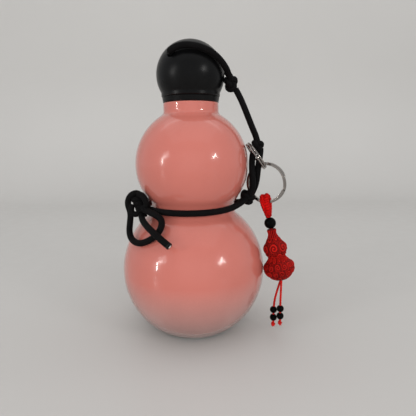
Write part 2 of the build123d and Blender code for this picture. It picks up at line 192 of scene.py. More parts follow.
# %% [markdown]
# Four kinds of node come back in several materials: sums, mixed colours, noise, and a value
# carried over from one range to another. A short function for each keeps the materials readable.

# %% Common nodes
MIX_COLOR_OUTPUT = 2


def maths(tree, operation, *values, clamp=False):
    """What a maths node makes of its values."""
    numbered = {f"_{number}": value for number, value in enumerate(values)}
    return add(tree, "ShaderNodeMath", {"operation": operation, "use_clamp": clamp}, **numbered).outputs[0]


def mixed(tree, factor, low, high):
    """A colour between two; a Mix node takes its colours at sockets 6 and 7."""
    node = add(tree, "ShaderNodeMix", {"data_type": "RGBA"}, Factor=factor, _6=low, _7=high)
    return node.outputs[MIX_COLOR_OUTPUT]


def noise(tree, scale, detail, **more):
    """Noise in the object's own space."""
    place = add(tree, "ShaderNodeTexCoord").outputs["Object"]
    return add(tree, "ShaderNodeTexNoise", Vector=place, Scale=scale, Detail=detail, **more).outputs["Fac"]


def ranged(tree, value, **ends):
    """A value carried over from one range to another."""
    return add(tree, "ShaderNodeMapRange", Value=value, **ends).outputs["Result"]


print("a Mix node's colour comes out of its socket", MIX_COLOR_OUTPUT)

# %% [markdown]
# Moulded, painted and plated surfaces are never quite even. The grain group gives fine unevenness
# in tone, gloss and height, which stops them from looking like a computer's flat colour. An image
# could do the same, but noise has no edges and no size at which it turns blurred.

# %% Grain group
def build_grain():
    """Fine unevenness in tone, gloss and height."""
    group, start, end = node_group(
        "grain", [("Scale", FLOAT, 400.0), ("Low Roughness", FLOAT, 0.4), ("High Roughness", FLOAT, 0.5)],
        [("Tone", FLOAT), ("Roughness", FLOAT), ("Height", FLOAT)])
    fine = noise(group, scale=start.outputs["Scale"], detail=4.0)
    broad = noise(group, scale=60.0, detail=3.0)
    rough = ranged(group, broad, From_Min=0.3, From_Max=0.7, To_Min=start.outputs["Low Roughness"],
                   To_Max=start.outputs["High Roughness"])
    group.links.new(broad, end.inputs["Tone"])
    group.links.new(rough, end.inputs["Roughness"])
    group.links.new(fine, end.inputs["Height"])
    return group


GRAIN = build_grain()
print("the", GRAIN.name, "group has", len(GRAIN.nodes), "nodes")

# %% [markdown]
# In a braid, a twist or a carving the crowns catch the light and the valleys lie in shadow, and
# the lay group paints that in: it reads the relief of a point and colours it by its height, the
# crowns painted lighter as if lit and the valleys darker as painted shade. Noise breaks the crowns up into
# single bright fibres.

# %% Lay group
def build_lay():
    """Colour by how high a point stands, which paints shade into the valleys of a braid, twist or carving,
    with single bright fibres.
    """
    group, start, end = node_group(
        "lay", [("Valley", COLOR, (0, 0, 0, 1)), ("Crown", COLOR, (1, 1, 1, 1)),
                ("Fibre Scale", FLOAT, 2500.0)],
        [("Color", COLOR), ("Height", FLOAT)])
    relief = add(group, "ShaderNodeAttribute", {"attribute_name": "relief"})
    fibre = noise(group, scale=start.outputs["Fibre Scale"], detail=3.0, Roughness=0.7)
    patch = noise(group, scale=120.0, detail=2.0)
    uneven = maths(group, "MULTIPLY", fibre, patch)
    spread = ranged(group, uneven, From_Min=0.12, From_Max=0.4, To_Min=0.55, To_Max=1.15)
    # Low relief gets the valley colour: painted shade between strands and in grooves.
    lit = maths(group, "MULTIPLY", relief.outputs["Fac"], spread)
    color = mixed(group, lit, start.outputs["Valley"], start.outputs["Crown"])
    group.links.new(color, end.inputs["Color"])
    group.links.new(fibre, end.inputs["Height"])
    return group


LAY = build_lay()
print("the", LAY.name, "group has", len(LAY.nodes), "nodes")

# %% [markdown]
# A finish is one Principled shader, which is Blender's model of a real surface. Its plain values
# are set on the shader itself, and the groups feed what changes over the surface. Their bumps
# are a tenth of a millimetre deep at most, as on the real thing.

# %% Finishes
GRAIN_BUMP = 0.6
LAY_BUMP = 0.7


def finish(name, **values):
    """A material with a Principled shader, whose plain values are set on the shader itself."""
    material = bpy.data.materials.new(name)
    material.use_nodes = True
    shader = material.node_tree.nodes["Principled BSDF"]
    for key, value in values.items():
        shader.inputs[key.replace("_", " ")].default_value = value
    return material, material.node_tree, shader


def uneven_gloss(tree, shader, scale, low, high):
    """Puts the grain group into a material, for its gloss."""
    grain = add(tree, "ShaderNodeGroup", {"node_tree": GRAIN}, Scale=scale, Low_Roughness=low,
                High_Roughness=high)
    tree.links.new(grain.outputs["Roughness"], shader.inputs["Roughness"])
    return grain


def bumped(tree, shader, height, depth, strength):
    """Gives a material a shallow bump."""
    bump = add(tree, "ShaderNodeBump", Height=height, Distance=depth, Strength=strength)
    tree.links.new(bump.outputs["Normal"], shader.inputs["Normal"])


def grained(tree, shader, scale, low, high, depth):
    """Puts the grain group into a material: gloss and a shallow bump."""
    grain = uneven_gloss(tree, shader, scale, low, high)
    bumped(tree, shader, grain.outputs["Height"], depth, GRAIN_BUMP)
    return grain


def laid(tree, shader, valley, crown, fibre_scale, depth):
    """Puts the lay group into a material: colour by height, and a fibre bump."""
    lay = add(tree, "ShaderNodeGroup", {"node_tree": LAY}, Valley=(*valley, 1), Crown=(*crown, 1),
              Fibre_Scale=fibre_scale)
    tree.links.new(lay.outputs["Color"], shader.inputs["Base Color"])
    bumped(tree, shader, lay.outputs["Height"], depth, LAY_BUMP)


print("the groups bump by", GRAIN_BUMP, "and", LAY_BUMP, "of their depths")

# %% [markdown]
# The cords are dull: braided or twisted thread scatters light and hardly mirrors it. So their
# roughness is high and their mirror level low, with a touch of sheen from loose fibres.

# %% Cord finishes
CORD_BUMP = 0.00008


def cord_finish(name, valley, crown, fibre_scale, **values):
    """Dull braided or twisted cord, with painted shade in the valleys between its strands."""
    material, tree, shader = finish(name, Sheen_Roughness=0.4, **values)
    laid(tree, shader, valley, crown, fibre_scale, CORD_BUMP)
    return material


# Each cord's valley colour is painted shade between its strands, darker than the thread itself.
BLACK_CORD = cord_finish("black_braid", (0.0008, 0.0007, 0.0008), (0.005, 0.0045, 0.0048), 3000.0,
                         Roughness=0.7, Sheen_Weight=0.02, Specular_IOR_Level=0.08)
RED_PLAIT = cord_finish("red_plait", (0.04, 0.0006, 0.0006), (0.66, 0.007, 0.006), 3500.0,
                        Roughness=0.7, Sheen_Weight=0.01, Specular_IOR_Level=0.05)
RED_STRING = cord_finish("red_string", (0.2, 0.004, 0.003), (0.75, 0.02, 0.014), 3500.0,
                         Roughness=0.6, Sheen_Weight=0.01, Specular_IOR_Level=0.05)
print("cord finishes:", BLACK_CORD.name, RED_PLAIT.name, RED_STRING.name)

# %% [markdown]
# The hard parts are moulded, plated or lacquered. They differ in how wide the highlight is, which
# is the roughness, and the grain group lets it wander a little between two ends.

# %% Hard finishes
def carved_finish():
    """Moulded red lacquer, with painted shade in its grooves."""
    material, tree, shader = finish("carved_red_lacquer", Specular_IOR_Level=0.1)
    # The dark valley colour is painted shade in the carved grooves.
    laid(tree, shader, valley=(0.07, 0.001, 0.001), crown=(0.54, 0.011, 0.007), fibre_scale=1500.0,
         depth=0.00005)
    uneven_gloss(tree, shader, scale=900.0, low=0.5, high=0.65)
    return material


def plastic_finish(name, color, low, high, specular=0.5):
    """Plastic of one colour, uneven in tone."""
    material, tree, shader = finish(name, Base_Color=(*color, 1), Specular_IOR_Level=specular)
    grain = grained(tree, shader, scale=1800.0, low=low, high=high, depth=0.00004)
    tone = ranged(tree, grain.outputs["Tone"], To_Min=0.75, To_Max=1.3)
    shade = add(tree, "ShaderNodeVectorMath", {"operation": "SCALE"}, _0=color, Scale=tone)
    tree.links.new(shade.outputs["Vector"], shader.inputs["Base Color"])
    return material


def chrome_finish():
    """Nickel plate, which is all mirror."""
    material, tree, shader = finish("nickel_plate", Base_Color=(0.3, 0.275, 0.255, 1), Metallic=1.0)
    grained(tree, shader, scale=700.0, low=0.06, high=0.16, depth=0.00002)
    return material


CARVED_RED = carved_finish()
CAP_BLACK = plastic_finish("satin_black_plastic", (0.0026, 0.0026, 0.0028), 0.27, 0.34, 0.14)
BEAD_BLACK = plastic_finish("polished_black", (0.001, 0.001, 0.001), 0.34, 0.42, 0.05)
SEAL_WHITE = plastic_finish("white_silicone", (0.7, 0.7, 0.68), 0.5, 0.6)
NICKEL = chrome_finish()
print("finishes so far:", len(bpy.data.materials))

# %% [markdown]
# A cord lies along a line. Its route is a few listed points, and a smooth spline runs near
# them, as it does in the solid's tube. The curve is read back as a row of points, because a
# weave needs to know how far along the cord each point is.

# %% Lines
SPLINE_STEPS = 24


def route_line(route):
    """The smooth spline of a route, as a row of points."""
    curve = bpy.data.curves.new("route", "CURVE")
    curve.dimensions = "3D"
    spline = curve.splines.new("NURBS")
    spline.points.add(len(route) - 1)
    for point, place in zip(spline.points, route):
        point.co = (*place, 1)
    spline.order_u = 3
    spline.use_endpoint_u = True
    spline.resolution_u = SPLINE_STEPS
    carrier = bpy.data.objects.new("route", curve)
    mesh = bpy.data.meshes.new_from_object(carrier)
    line = np.array([vertex.co for vertex in mesh.vertices])
    bpy.data.objects.remove(carrier)
    bpy.data.meshes.remove(mesh)
    return line


def run_along(line):
    """How far along the line each of its points is."""
    return np.concatenate([[0], np.cumsum(np.linalg.norm(np.diff(line, axis=0), axis=1))])


def even_line(line, step):
    """The same line with points a step apart."""
    run = run_along(line)
    count = max(2, int(round(run[-1] / step)) + 1)
    even = np.linspace(0, run[-1], count)
    return np.stack([np.interp(even, run, line[:, axis]) for axis in range(3)], 1)


print("the spline of three points has", len(route_line([(0, 0, 0), (1, 0, 0), (1, 1, 0)])), "points")

# %% [markdown]
# A section carried along a line needs to know which way is out at each point. Two directions
# square to the line are carried from point to point and only turned as much as the line turns,
# so that a braid isn't wrung on its way.

# %% Frames along a line
def directions(line):
    """The line's direction at each of its points."""
    tangents = np.gradient(line, axis=0)
    return tangents / np.linalg.norm(tangents, axis=1)[:, None]


def frames_along(line):
    """Two directions square to the line at each point, turning no more than the line does."""
    tangents = directions(line)
    start = np.array([0, 0, 1.0]) if abs(tangents[0][2]) < NEARLY_ALONG else np.array([1.0, 0, 0])
    first = []
    for tangent in tangents:
        start = start - tangent * (start @ tangent)
        start /= np.linalg.norm(start)
        first.append(start)
    first = np.array(first)
    return first, np.cross(tangents, first)


print("along +X the first way out is", frames_along(np.array([[0, 0, 0], [1.0, 0, 0]]))[0][0])

# %% [markdown]
# A tube is a ring of points carried along a line. Blender's curves can do that with a bevel, but a
# flat tube with a woven picture on it would go smooth at the edges. So the rings are made here,
# and each point of the skin is pushed out by how high the strand on top stands there.

# %% Tubes
MIDDLE_RELIEF = 0.5


def tube_mesh(line, radius, sides, relief=None, depth=0.0, narrow=None):
    """Points, faces and relief of a skin round a line; the relief stands out by its depth."""
    across, up = frames_along(line)
    run = run_along(line)
    angle = np.linspace(0, 2 * pi, sides, endpoint=False)
    angles, runs = np.meshgrid(angle, run)
    height = np.ones_like(angles) if relief is None else relief(angles, runs)
    reach = radius + depth * (height - MIDDLE_RELIEF)
    if narrow is not None:
        reach = reach * narrow(runs / run[-1])
    out = np.cos(angles)[..., None] * across[:, None] + np.sin(angles)[..., None] * up[:, None]
    skin = line[:, None] + reach[..., None] * out
    points = [tuple(line[0])] + [tuple(p) for p in skin.reshape(-1, 3)] + [tuple(line[-1])]
    rings = [[0]] + [list(range(1 + i * sides, 1 + (i + 1) * sides)) for i in range(len(line))]
    rings.append([len(points) - 1])
    values = [MIDDLE_RELIEF] + list(height.ravel()) + [MIDDLE_RELIEF]
    return points, band_faces(rings), values


def joined(parts):
    """Several meshes as one: points, faces and relief."""
    points, faces, values = [], [], []
    for part_points, part_faces, part_values in parts:
        start = len(points)
        points += part_points
        values += part_values
        faces += [[start + corner for corner in face] for face in part_faces]
    return points, faces, values


print("relief runs from 0 to 1, and", MIDDLE_RELIEF, "lies on the tube's radius")

# %% [markdown]
# Cord is the harness's one material: a 4 mm round braid. Two sets of strands wind opposite ways,
# and each passes over two of the other set and then under two. Strands could be laid one by one
# as tubes, but a formula for the height of the top one gives the same skin with far fewer faces.

# %% The braid of the black cord
CORD_R = 0.002
BRAID_STRANDS = 10
BRAID_CELL = 0.00125
BRAID_DEPTH = 0.00026
BRAID_SIDES = 50
BRAID_STEP = 0.00026
WEAVE = 4
ABOVE_ZERO = 1024 * WEAVE
STRAND_ROUNDING = 0.6
STRAND_EDGE = 0.7


def two_over_two(angle, run):
    """How high a round braid stands: each strand goes over two others and then under two."""
    right = BRAID_STRANDS * angle / (2 * pi) + run / BRAID_CELL
    left = BRAID_STRANDS * angle / (2 * pi) - run / BRAID_CELL + ABOVE_ZERO
    place = (np.floor(right) + np.floor(left)) % WEAVE
    on_top = place < 2
    across = np.where(on_top, right % 1, left % 1)
    along = np.where(on_top, place + left % 1, place - 2 + right % 1) / 2
    return np.sin(pi * across) ** STRAND_ROUNDING * (STRAND_EDGE + (1 - STRAND_EDGE) * np.sin(pi * along))


def braid_mesh(line, radius=CORD_R):
    """The skin of a length of black braid."""
    return tube_mesh(even_line(line, BRAID_STEP), radius, BRAID_SIDES, two_over_two, BRAID_DEPTH)


def black_braid(name, made):
    """A piece of black braid."""
    return new_piece(name, made, BLACK_CORD, keep_relief=True)


print("the braid has", BRAID_STRANDS, "strands and cells", BRAID_CELL * 1000, "mm long")

# %% [markdown]
# The cord's routes are settled in the solid model, so the same points are repeated here. Only
# the cap loop lies a little closer to the ball, as the slack cord does. The spline cuts inside
# the corners of a route a little.

# %% Cord routes
CAP_LOOP_ROUTE = [
    (0.0264, -0.0050, 0.1732), (0.0247, -0.0084, 0.1786), (0.0206, -0.0138, 0.1834),
    (0.0153, -0.0176, 0.1878), (0.0080, -0.0203, 0.1907), (0.0010, -0.0212, 0.1920),
    (-0.0060, -0.0206, 0.1919), (-0.0129, -0.0188, 0.1888), (-0.0090, -0.0131, 0.1888),
    (0.0126, 0.0184, 0.1888), (0.0194, 0.0186, 0.1864), (0.0248, 0.0118, 0.1814),
    (0.0276, 0.0044, 0.1768), (0.0272, 0.0002, 0.1732),
]
LEASH_ROUTE = [
    (0.0300, -0.0030, 0.1679), (0.0326, -0.0035, 0.1634), (0.0356, -0.0044, 0.1564),
    (0.0387, -0.0056, 0.1484), (0.0416, -0.0069, 0.1410), (0.0434, -0.0079, 0.1366),
    (0.0443, -0.0084, 0.1329),
]
LEFT_STRAND_ROUTE = [
    (0.0422, -0.0098, 0.1290), (0.0409, -0.0104, 0.1252), (0.0402, -0.0120, 0.1196),
    (0.0402, -0.0136, 0.1134), (0.0408, -0.0139, 0.1070), (0.0406, -0.0134, 0.1016),
    (0.0389, -0.0124, 0.0984),
]
RIGHT_STRAND_ROUTE = [
    (0.0464, -0.0084, 0.1286), (0.0460, -0.0102, 0.1248), (0.0448, -0.0118, 0.1194),
    (0.0442, -0.0114, 0.1130), (0.0438, -0.0096, 0.1068), (0.0424, -0.0082, 0.1014),
    (0.0404, -0.0086, 0.0978),
]
WAIST_FRONT_ROUTE = [
    (0.0366, -0.0116, 0.0952), (0.0319, -0.0154, 0.0924), (0.0247, -0.0229, 0.0902),
    (0.0114, -0.0316, 0.0895), (-0.0056, -0.0332, 0.0894), (-0.0204, -0.0262, 0.0895),
    (-0.0286, -0.0174, 0.0900), (-0.0320, -0.0132, 0.0906),
]
WAIST_BACK_ROUTE = [
    (0.0368, -0.0072, 0.0954), (0.0346, -0.0004, 0.0916), (0.0316, 0.0112, 0.0896),
    (0.0226, 0.0246, 0.0894), (0.0072, 0.0326, 0.0894), (-0.0100, 0.0316, 0.0894),
    (-0.0244, 0.0226, 0.0895), (-0.0324, 0.0086, 0.0897), (-0.0350, -0.0042, 0.0902),
    (-0.0345, -0.0124, 0.0914),
]
BOW_LOOP_ROUTE = [
    (-0.0332, -0.0150, 0.0976), (-0.0346, -0.0166, 0.1004), (-0.0378, -0.0172, 0.1009),
    (-0.0413, -0.0168, 0.0984), (-0.0429, -0.0162, 0.0934), (-0.0407, -0.0170, 0.0876),
    (-0.0412, -0.0186, 0.0814), (-0.0416, -0.0208, 0.0756), (-0.0396, -0.0250, 0.0714),
    (-0.0342, -0.0310, 0.0699), (-0.0280, -0.0350, 0.0722), (-0.0222, -0.0370, 0.0760),
    (-0.0182, -0.0360, 0.0812), (-0.0182, -0.0332, 0.0860), (-0.0226, -0.0298, 0.0884),
    (-0.0274, -0.0252, 0.0894), (-0.0314, -0.0206, 0.0905),
]
BOW_TAIL_ROUTE = [
    (-0.0339, -0.0168, 0.0876), (-0.0329, -0.0218, 0.0846), (-0.0288, -0.0314, 0.0822),
    (-0.0238, -0.0400, 0.0802), (-0.0196, -0.0446, 0.0778), (-0.0162, -0.0468, 0.0754),
    (-0.0132, -0.0480, 0.0732),
]
print("the bow's loop has", len(BOW_LOOP_ROUTE), "points and its tail", len(BOW_TAIL_ROUTE))

# %% [markdown]
# Each run of cord between two knots is a piece of its own, on the body that carries it. The leash
# is tied to the cap at one end and to the harness at the other, and the two can move apart. So
# it rides on neither body.

# %% Braided cords
cords = {}
for name, route, body, node in (
        ("cap_loop_braid", CAP_LOOP_ROUTE, "cap", "cap_loop_cord"),
        ("leash_braid", LEASH_ROUTE, None, "leash_cord"),
        ("left_strand_braid", LEFT_STRAND_ROUTE, "harness", "left_strand"),
        ("right_strand_braid", RIGHT_STRAND_ROUTE, "harness", "right_strand"),
        ("waist_front_braid", WAIST_FRONT_ROUTE, "harness", "waist_cord_front"),
        ("waist_back_braid", WAIST_BACK_ROUTE, "harness", "waist_cord_back"),
        ("bow_loop_braid", BOW_LOOP_ROUTE, "harness", "bow_loop"),
        ("bow_tail_braid", BOW_TAIL_ROUTE, "harness", "bow_tail")):
    line = route_line(route)
    cords[name] = (stand_for(black_braid(name, braid_mesh(line)), body, node), line)
    print(f"{name}: {run_along(line)[-1]:.4f} m")
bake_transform(cords["leash_braid"][0])

# %% [markdown]
# The knots at the cap and above the rings look like single overhand knots. From the front one
# is three lobes that pass over and under each other, which is the curve called a trefoil. Its
# formula is short, and a tube of braid along it reads as a knot from every side.

# %% Overhand knots
KNOT_CORD_R = 0.0019
KNOT_DEPTH = 0.0013
LOBE_STEPS = 160


def trefoil_line(reach, turn):
    """An overhand knot's closed line: three lobes in a plane, crossing over and under."""
    t = np.linspace(0, 2 * pi, LOBE_STEPS)
    x = (np.sin(t) + 2 * np.sin(2 * t)) / 3
    y = (np.cos(t) - 2 * np.cos(2 * t)) / 3
    return np.stack([reach * (x * cos(turn) - y * sin(turn)), reach * (x * sin(turn) + y * cos(turn)),
                     -KNOT_DEPTH * np.sin(3 * t)], 1)


def overhand_knot(name, centre, facing, body, node, reach, turn):
    """A small overhand knot that faces a direction, its lobes turned in its own plane."""
    place = placed(centre, facing, (1, 0, 0))
    line = trefoil_line(reach, turn) @ np.array(place)[:3, :3].T + np.array(centre)
    return stand_for(black_braid(name, braid_mesh(line, KNOT_CORD_R)), body, node)


CAP_KNOT = (0.0268, -0.0036, 0.1715)
RING_KNOT = (0.0441, -0.0087, 0.1304)
cap_knot = overhand_knot("cap_knot_tied", CAP_KNOT, (0.45, -0.88, 0.1), "cap", "cap_knot", 0.0038, 0.06)
ring_knot = overhand_knot("ring_knot_tied", RING_KNOT, (0.3, -0.95, 0.1), "harness", "ring_knot", 0.0029,
                          -0.3)
print("overhand knots:", cap_knot.name, "and", ring_knot.name)

# %% [markdown]
# At the waist and the bow the cord goes round several times. Pulled tight, such a knot reads as a
# few fat turns that lean across each other, with one bight, a bend of cord, over the outside.
# Tying it for certain would need a simulation; laying the turns by formula gives the same lumps
# and keeps each knot near the size of its solid.

# %% Turns and bight of a knot
KNOT_PITCH = 0.0032
KNOT_LEAN, KNOT_LEAN_PHASE = 0.35, 0.6
KNOT_STEPS = 60
KNOT_OVERRUN, KNOT_SQUEEZE = 0.2, 0.4
TUCK_SHARE, TUCK_R_SHARE, TUCK_ROUNDING = 0.1, 0.35, 0.5
BIGHT_REACH = 0.0011
BIGHT_RISE, BIGHT_SQUEEZE = 0.0012, 0.6
BIGHT_SWEEP = radians(150)
BIGHT_TURN = -1.2
BIGHT_FOOT_SHARE, BIGHT_ROUNDING = 0.5, 0.7


def knot_coil(turns, turn_r):
    """The turns of a knot about Z, tucked in at both ends."""
    share = np.linspace(0, 1, KNOT_STEPS * turns)
    angle = 2 * pi * (turns + KNOT_OVERRUN) * share
    tuck = np.clip(np.minimum(share, 1 - share) / TUCK_SHARE, 0, 1) ** TUCK_ROUNDING
    height = (0.5 - share) * (turns - KNOT_SQUEEZE) * KNOT_PITCH
    reach = turn_r * (TUCK_R_SHARE + (1 - TUCK_R_SHARE) * tuck)
    return np.stack([reach * np.cos(angle), reach * np.sin(angle),
                     height + KNOT_LEAN * reach * np.sin(angle + KNOT_LEAN_PHASE)], 1)


def knot_bight(turns, turn_r):
    """The bight that crosses a knot's turns."""
    share = np.linspace(0, 1, KNOT_STEPS)
    angle = BIGHT_TURN + BIGHT_SWEEP * (share - 0.5)
    rise = (turns - BIGHT_SQUEEZE) * KNOT_PITCH / 2 + BIGHT_RISE
    foot = turn_r * BIGHT_FOOT_SHARE
    reach = foot + (turn_r - foot + BIGHT_REACH) * np.sin(pi * share) ** BIGHT_ROUNDING
    return np.stack([reach * np.cos(angle), reach * np.sin(angle), rise * np.cos(pi * share)], 1)


print("a knot of two turns is a line of", len(knot_coil(2, CORD_R)), "points")

# %% [markdown]
# The waist's knot is two turns and one bight, and the bow's is four turns and one. The bow has two
# loose bights of its own as well, where the cord leaves the knot and comes back; they are routes
# like those of the cords, joined into the same piece.

# %% Knots of the waist and the bow
KNOT_TURN_R = 0.0022


def tied_knot(name, centre, along, body, node, turns=2, turn_r=KNOT_TURN_R, loose=()):
    """A knot of braid at a place, its axis along a direction, with any loose bights of its own."""
    turned = np.array(Vector(along).normalized().to_track_quat("Z", "Y").to_matrix())
    lines = [knot_coil(turns, turn_r), knot_bight(turns, turn_r)]
    lines = [line @ turned.T + np.array(centre) for line in lines]
    lines += [route_line(route) for route in loose]
    made = joined([braid_mesh(line, KNOT_CORD_R) for line in lines])
    return stand_for(black_braid(name, made), body, node)


WAIST_KNOT = (0.0380, -0.0098, 0.0966)
waist_knot = tied_knot("waist_knot_tied", WAIST_KNOT, (0.6, 0.1, -0.8), "harness", "waist_knot")
BOW_KNOT = (-0.0335, -0.0162, 0.0930)
BOW_TURNS = 4
BOW_TURN_R = 0.0027
BOW_LEFT_BIGHT = [(-0.0394, -0.0172, 0.0934), (-0.0404, -0.0180, 0.0902), (-0.0396, -0.0186, 0.0874),
                  (-0.0364, -0.0188, 0.0866), (-0.0340, -0.0184, 0.0892), (-0.0326, -0.0176, 0.0928)]
BOW_RIGHT_BIGHT = [(-0.0349, -0.0180, 0.1002), (-0.0322, -0.0206, 0.1002), (-0.0300, -0.0224, 0.0974),
                   (-0.0288, -0.0226, 0.0944), (-0.0298, -0.0216, 0.0918), (-0.0330, -0.0196, 0.0908)]
bow_knot = tied_knot("bow_knot_tied", BOW_KNOT, (0.5, -0.05, -0.86), "harness", "bow_knot",
                     turns=BOW_TURNS, turn_r=BOW_TURN_R, loose=(BOW_LEFT_BIGHT, BOW_RIGHT_BIGHT))
print("turned knots:", waist_knot.name, "and", bow_knot.name)

# %% [markdown]
# Bottle, cap, beads and the cord's tip are round about an axis. Blender's Screw or Spin could turn
# their outlines, but a function of its own can also push points out as it turns, which the
# screw threads need.

# %% Turned shapes
TINY = 1e-7
POLE_RELIEF = 0.5


def lathe_mesh(outline, sides, turned=None, relief=None):
    """Points, faces and relief of an outline of radius and height turned about Z."""
    angles = np.linspace(0, 2 * pi, sides, endpoint=False)
    points, rings, values = [], [], []
    for radius, height in outline:
        start = len(points)
        if radius < TINY:
            points.append((0.0, 0.0, height))
            values.append(POLE_RELIEF)
            rings.append([start])
            continue
        out = np.zeros(sides) if relief is None else relief(angles, radius, height)
        reach = radius + out
        points += list(zip(reach * np.cos(angles), reach * np.sin(angles), [height] * sides))
        values += list(out)
        rings.append(list(range(start, start + sides)))
    if turned is not None:
        points = [tuple(turned @ Vector(point)) for point in points]
    return points, band_faces(rings), values


print("a cone of 12 sides has", len(lathe_mesh([(0, 1), (1, 0)], 12)[1]), "faces")

# %% [markdown]
# The cord's free end is cut and melted so that it can't fray. The heat flares the black strands
# into a short sheath round a pale core. Two pieces with a finish each would do, but here two
# outlines are turned as one shape, and a value at each point says which of them is pale.

# %% Melted tip
TIP_H = 0.0014
TIP_R = 0.0019
TIP_SIDES = 40
SHEATH_SHARES = [(0, -0.5), (1, -0.5), (1.1, 0), (1.16, 0.6), (1, 1), (0.66, 0.92)]
CORE_SHARES = [(0.6, 1.0), (0.36, 1.16), (0, 1.2)]


def tip_finish():
    """Melted cord: black, and pale at its core."""
    material, tree, shader = finish("melted_cord", Roughness=0.4, Specular_IOR_Level=0.2)
    laid(tree, shader, valley=(0.002, 0.002, 0.002), crown=(0.75, 0.73, 0.7), fibre_scale=1500.0,
         depth=0.0001)
    return material


tail_end, tail_before = Vector(BOW_TAIL_ROUTE[-1]), Vector(BOW_TAIL_ROUTE[-2])
tip_outline = [(TIP_R * out, TIP_H * up) for out, up in SHEATH_SHARES + CORE_SHARES]
points, faces, _ = lathe_mesh(tip_outline, TIP_SIDES, placed(tail_end, tail_end - tail_before))
pale_from = 1 + TIP_SIDES * (len(SHEATH_SHARES) - 1)
paleness = [0.0] * pale_from + [1.0] * (len(points) - pale_from)
tip = new_piece("melted_tip", (points, faces, paleness), tip_finish(), keep_relief=True)
stand_for(tip, "harness", "bow_tip")
print("the tip has", pale_from, "black points and", len(points) - pale_from, "pale ones")

# %% [markdown]
# Cord is limp: handled, it hangs and bends. Each run is listed with what holds its far end,
# whether it lies slack or taut, and the pieces that go with it. The cap loop and
# the bow are slack, and the runs between knots are drawn tight.

# %% Cords listed
CORD_ENDS = {
    "cap_loop_braid": ("knot", "loose", [cap_knot]), "leash_braid": ("knot", "taut", []),
    "left_strand_braid": ("knot", "taut", []), "right_strand_braid": ("knot", "taut", [ring_knot]),
    "waist_front_braid": ("knot", "taut", [waist_knot]), "waist_back_braid": ("knot", "taut", []),
    "bow_loop_braid": ("knot", "loose", [bow_knot]), "bow_tail_braid": ("bare", "loose", [tip]),
}
for name, (far_end, lay, pieces) in CORD_ENDS.items():
    piece, line = cords[name]
print("cords declared:", len(CORD_ENDS))

# %% [markdown]
# The bottle is blown glass: two bulbs, a waist, a short neck and a narrower finish with the
# thread that the cap screws on. It is a solid of revolution, so its outline is worked out from
# radii that touch, as the mould's is, and then turned. The outline is the glass's real section,
# outside and inside, because clear glass shows its thickness.

# %% Outline of the glass
LOWER_R, UPPER_R, BULB_PITCH, BASE_R = 0.05, 0.0388, 0.0738, 0.023
WAIST_FILLET_R, GLASS_WALL, BASE_WALL, BASE_EDGE_R = 0.008, 0.0025, 0.004, 0.0012
NECK_R, NECK_RISE, NECK_FILLET_R, SHOULDER_FILLET_R = 0.0186, 0.0411, 0.0035, 0.005
FINISH_R, FINISH_H, BORE_R, LIP_R = 0.0162, 0.0137, 0.0132, 0.0011
ARC_STEP = 0.0008

lower_z = sqrt(LOWER_R**2 - BASE_R**2)
upper_z = lower_z + BULB_PITCH
ledge_z = upper_z + NECK_RISE
mouth_z = ledge_z + FINISH_H


def arc_points(centre, start, end):
    """Points along the shorter arc about a centre, without its end."""
    radius = hypot(start[0] - centre[0], start[1] - centre[1])
    begin = atan2(start[1] - centre[1], start[0] - centre[0])
    turn = (atan2(end[1] - centre[1], end[0] - centre[0]) - begin + pi) % (2 * pi) - pi
    count = max(2, ceil(abs(turn) * radius / ARC_STEP))
    angles = [begin + turn * i / count for i in range(count)]
    return [(centre[0] + radius * cos(angle), centre[1] + radius * sin(angle)) for angle in angles]


def straight_points(start, end, step=ARC_STEP):
    """Points along a straight run, without its end."""
    count = max(1, ceil(hypot(end[0] - start[0], end[1] - start[1]) / step))
    return [(start[0] + (end[0] - start[0]) * i / count, start[1] + (end[1] - start[1]) * i / count)
            for i in range(count)]


def gourd_side(inset, base, neck_r, fillet_r):
    """The bottle's side from base to neck, inset from the outside by a wall, and the neck's foot."""
    low_r, high_r, waist_r = LOWER_R - inset, UPPER_R - inset, WAIST_FILLET_R + inset
    low_reach, high_reach = low_r + waist_r, high_r + waist_r
    rise = (BULB_PITCH**2 + low_reach**2 - high_reach**2) / (2 * BULB_PITCH)
    waist = (sqrt(low_reach**2 - rise**2), lower_z + rise)
    low_join = (waist[0] * low_r / low_reach, lower_z + rise * low_r / low_reach)
    high_join = (waist[0] * high_r / high_reach, upper_z - (BULB_PITCH - rise) * high_r / high_reach)
    neck_reach = high_r + fillet_r
    neck = (neck_r + fillet_r, upper_z + sqrt(neck_reach**2 - (neck_r + fillet_r) ** 2))
    shoulder = (neck[0] * high_r / neck_reach, upper_z + (neck[1] - upper_z) * high_r / neck_reach)
    foot = (neck_r, neck[1])
    side = arc_points((0, lower_z), base, low_join) + arc_points(waist, low_join, high_join)
    side += arc_points((0, upper_z), high_join, shoulder) + arc_points(neck, shoulder, foot)
    return side, foot


print("bulb centres at", round(lower_z, 5), "and", round(upper_z, 5), "ledge at", round(ledge_z, 5))

# %% [markdown]
# The cap screws on a round thread that is blown with the glass. Modelling it as a swept solid and
# joining it on would leave seams; here the turned skin itself is pushed out along a climbing
# line, and the ridge fades in and out at its ends as a moulded thread does.

# %% Thread on the glass
THREAD_PITCH = 0.004
THREAD_TURNS = 2
THREAD_H = 0.0009
THREAD_HALF = 0.0009
THREAD_STEP = 0.00022
THREAD_START = ledge_z + 0.0034
THREAD_FULLNESS = 1.4
THREAD_FADE = 12


def thread_relief(way, phase):
    """A ridge that climbs round a cylinder, fading in and out at its ends."""
    def relief(angles, height):
        turns = (height - THREAD_START) / THREAD_PITCH - phase
        out = np.zeros(len(angles))
        for turn in range(-1, THREAD_TURNS + 1):
            climbed = angles / (2 * pi) + turn
            near = (turns - climbed) * THREAD_PITCH / THREAD_HALF
            ridge = np.clip(THREAD_FULLNESS * (1 - near**2), 0, 1)
            fade = np.clip(np.minimum(climbed, THREAD_TURNS - climbed) * THREAD_FADE, 0, 1)
            out = np.maximum(out, ridge * fade)
        return way * THREAD_H * out
    return relief


glass_thread = thread_relief(1, 0)


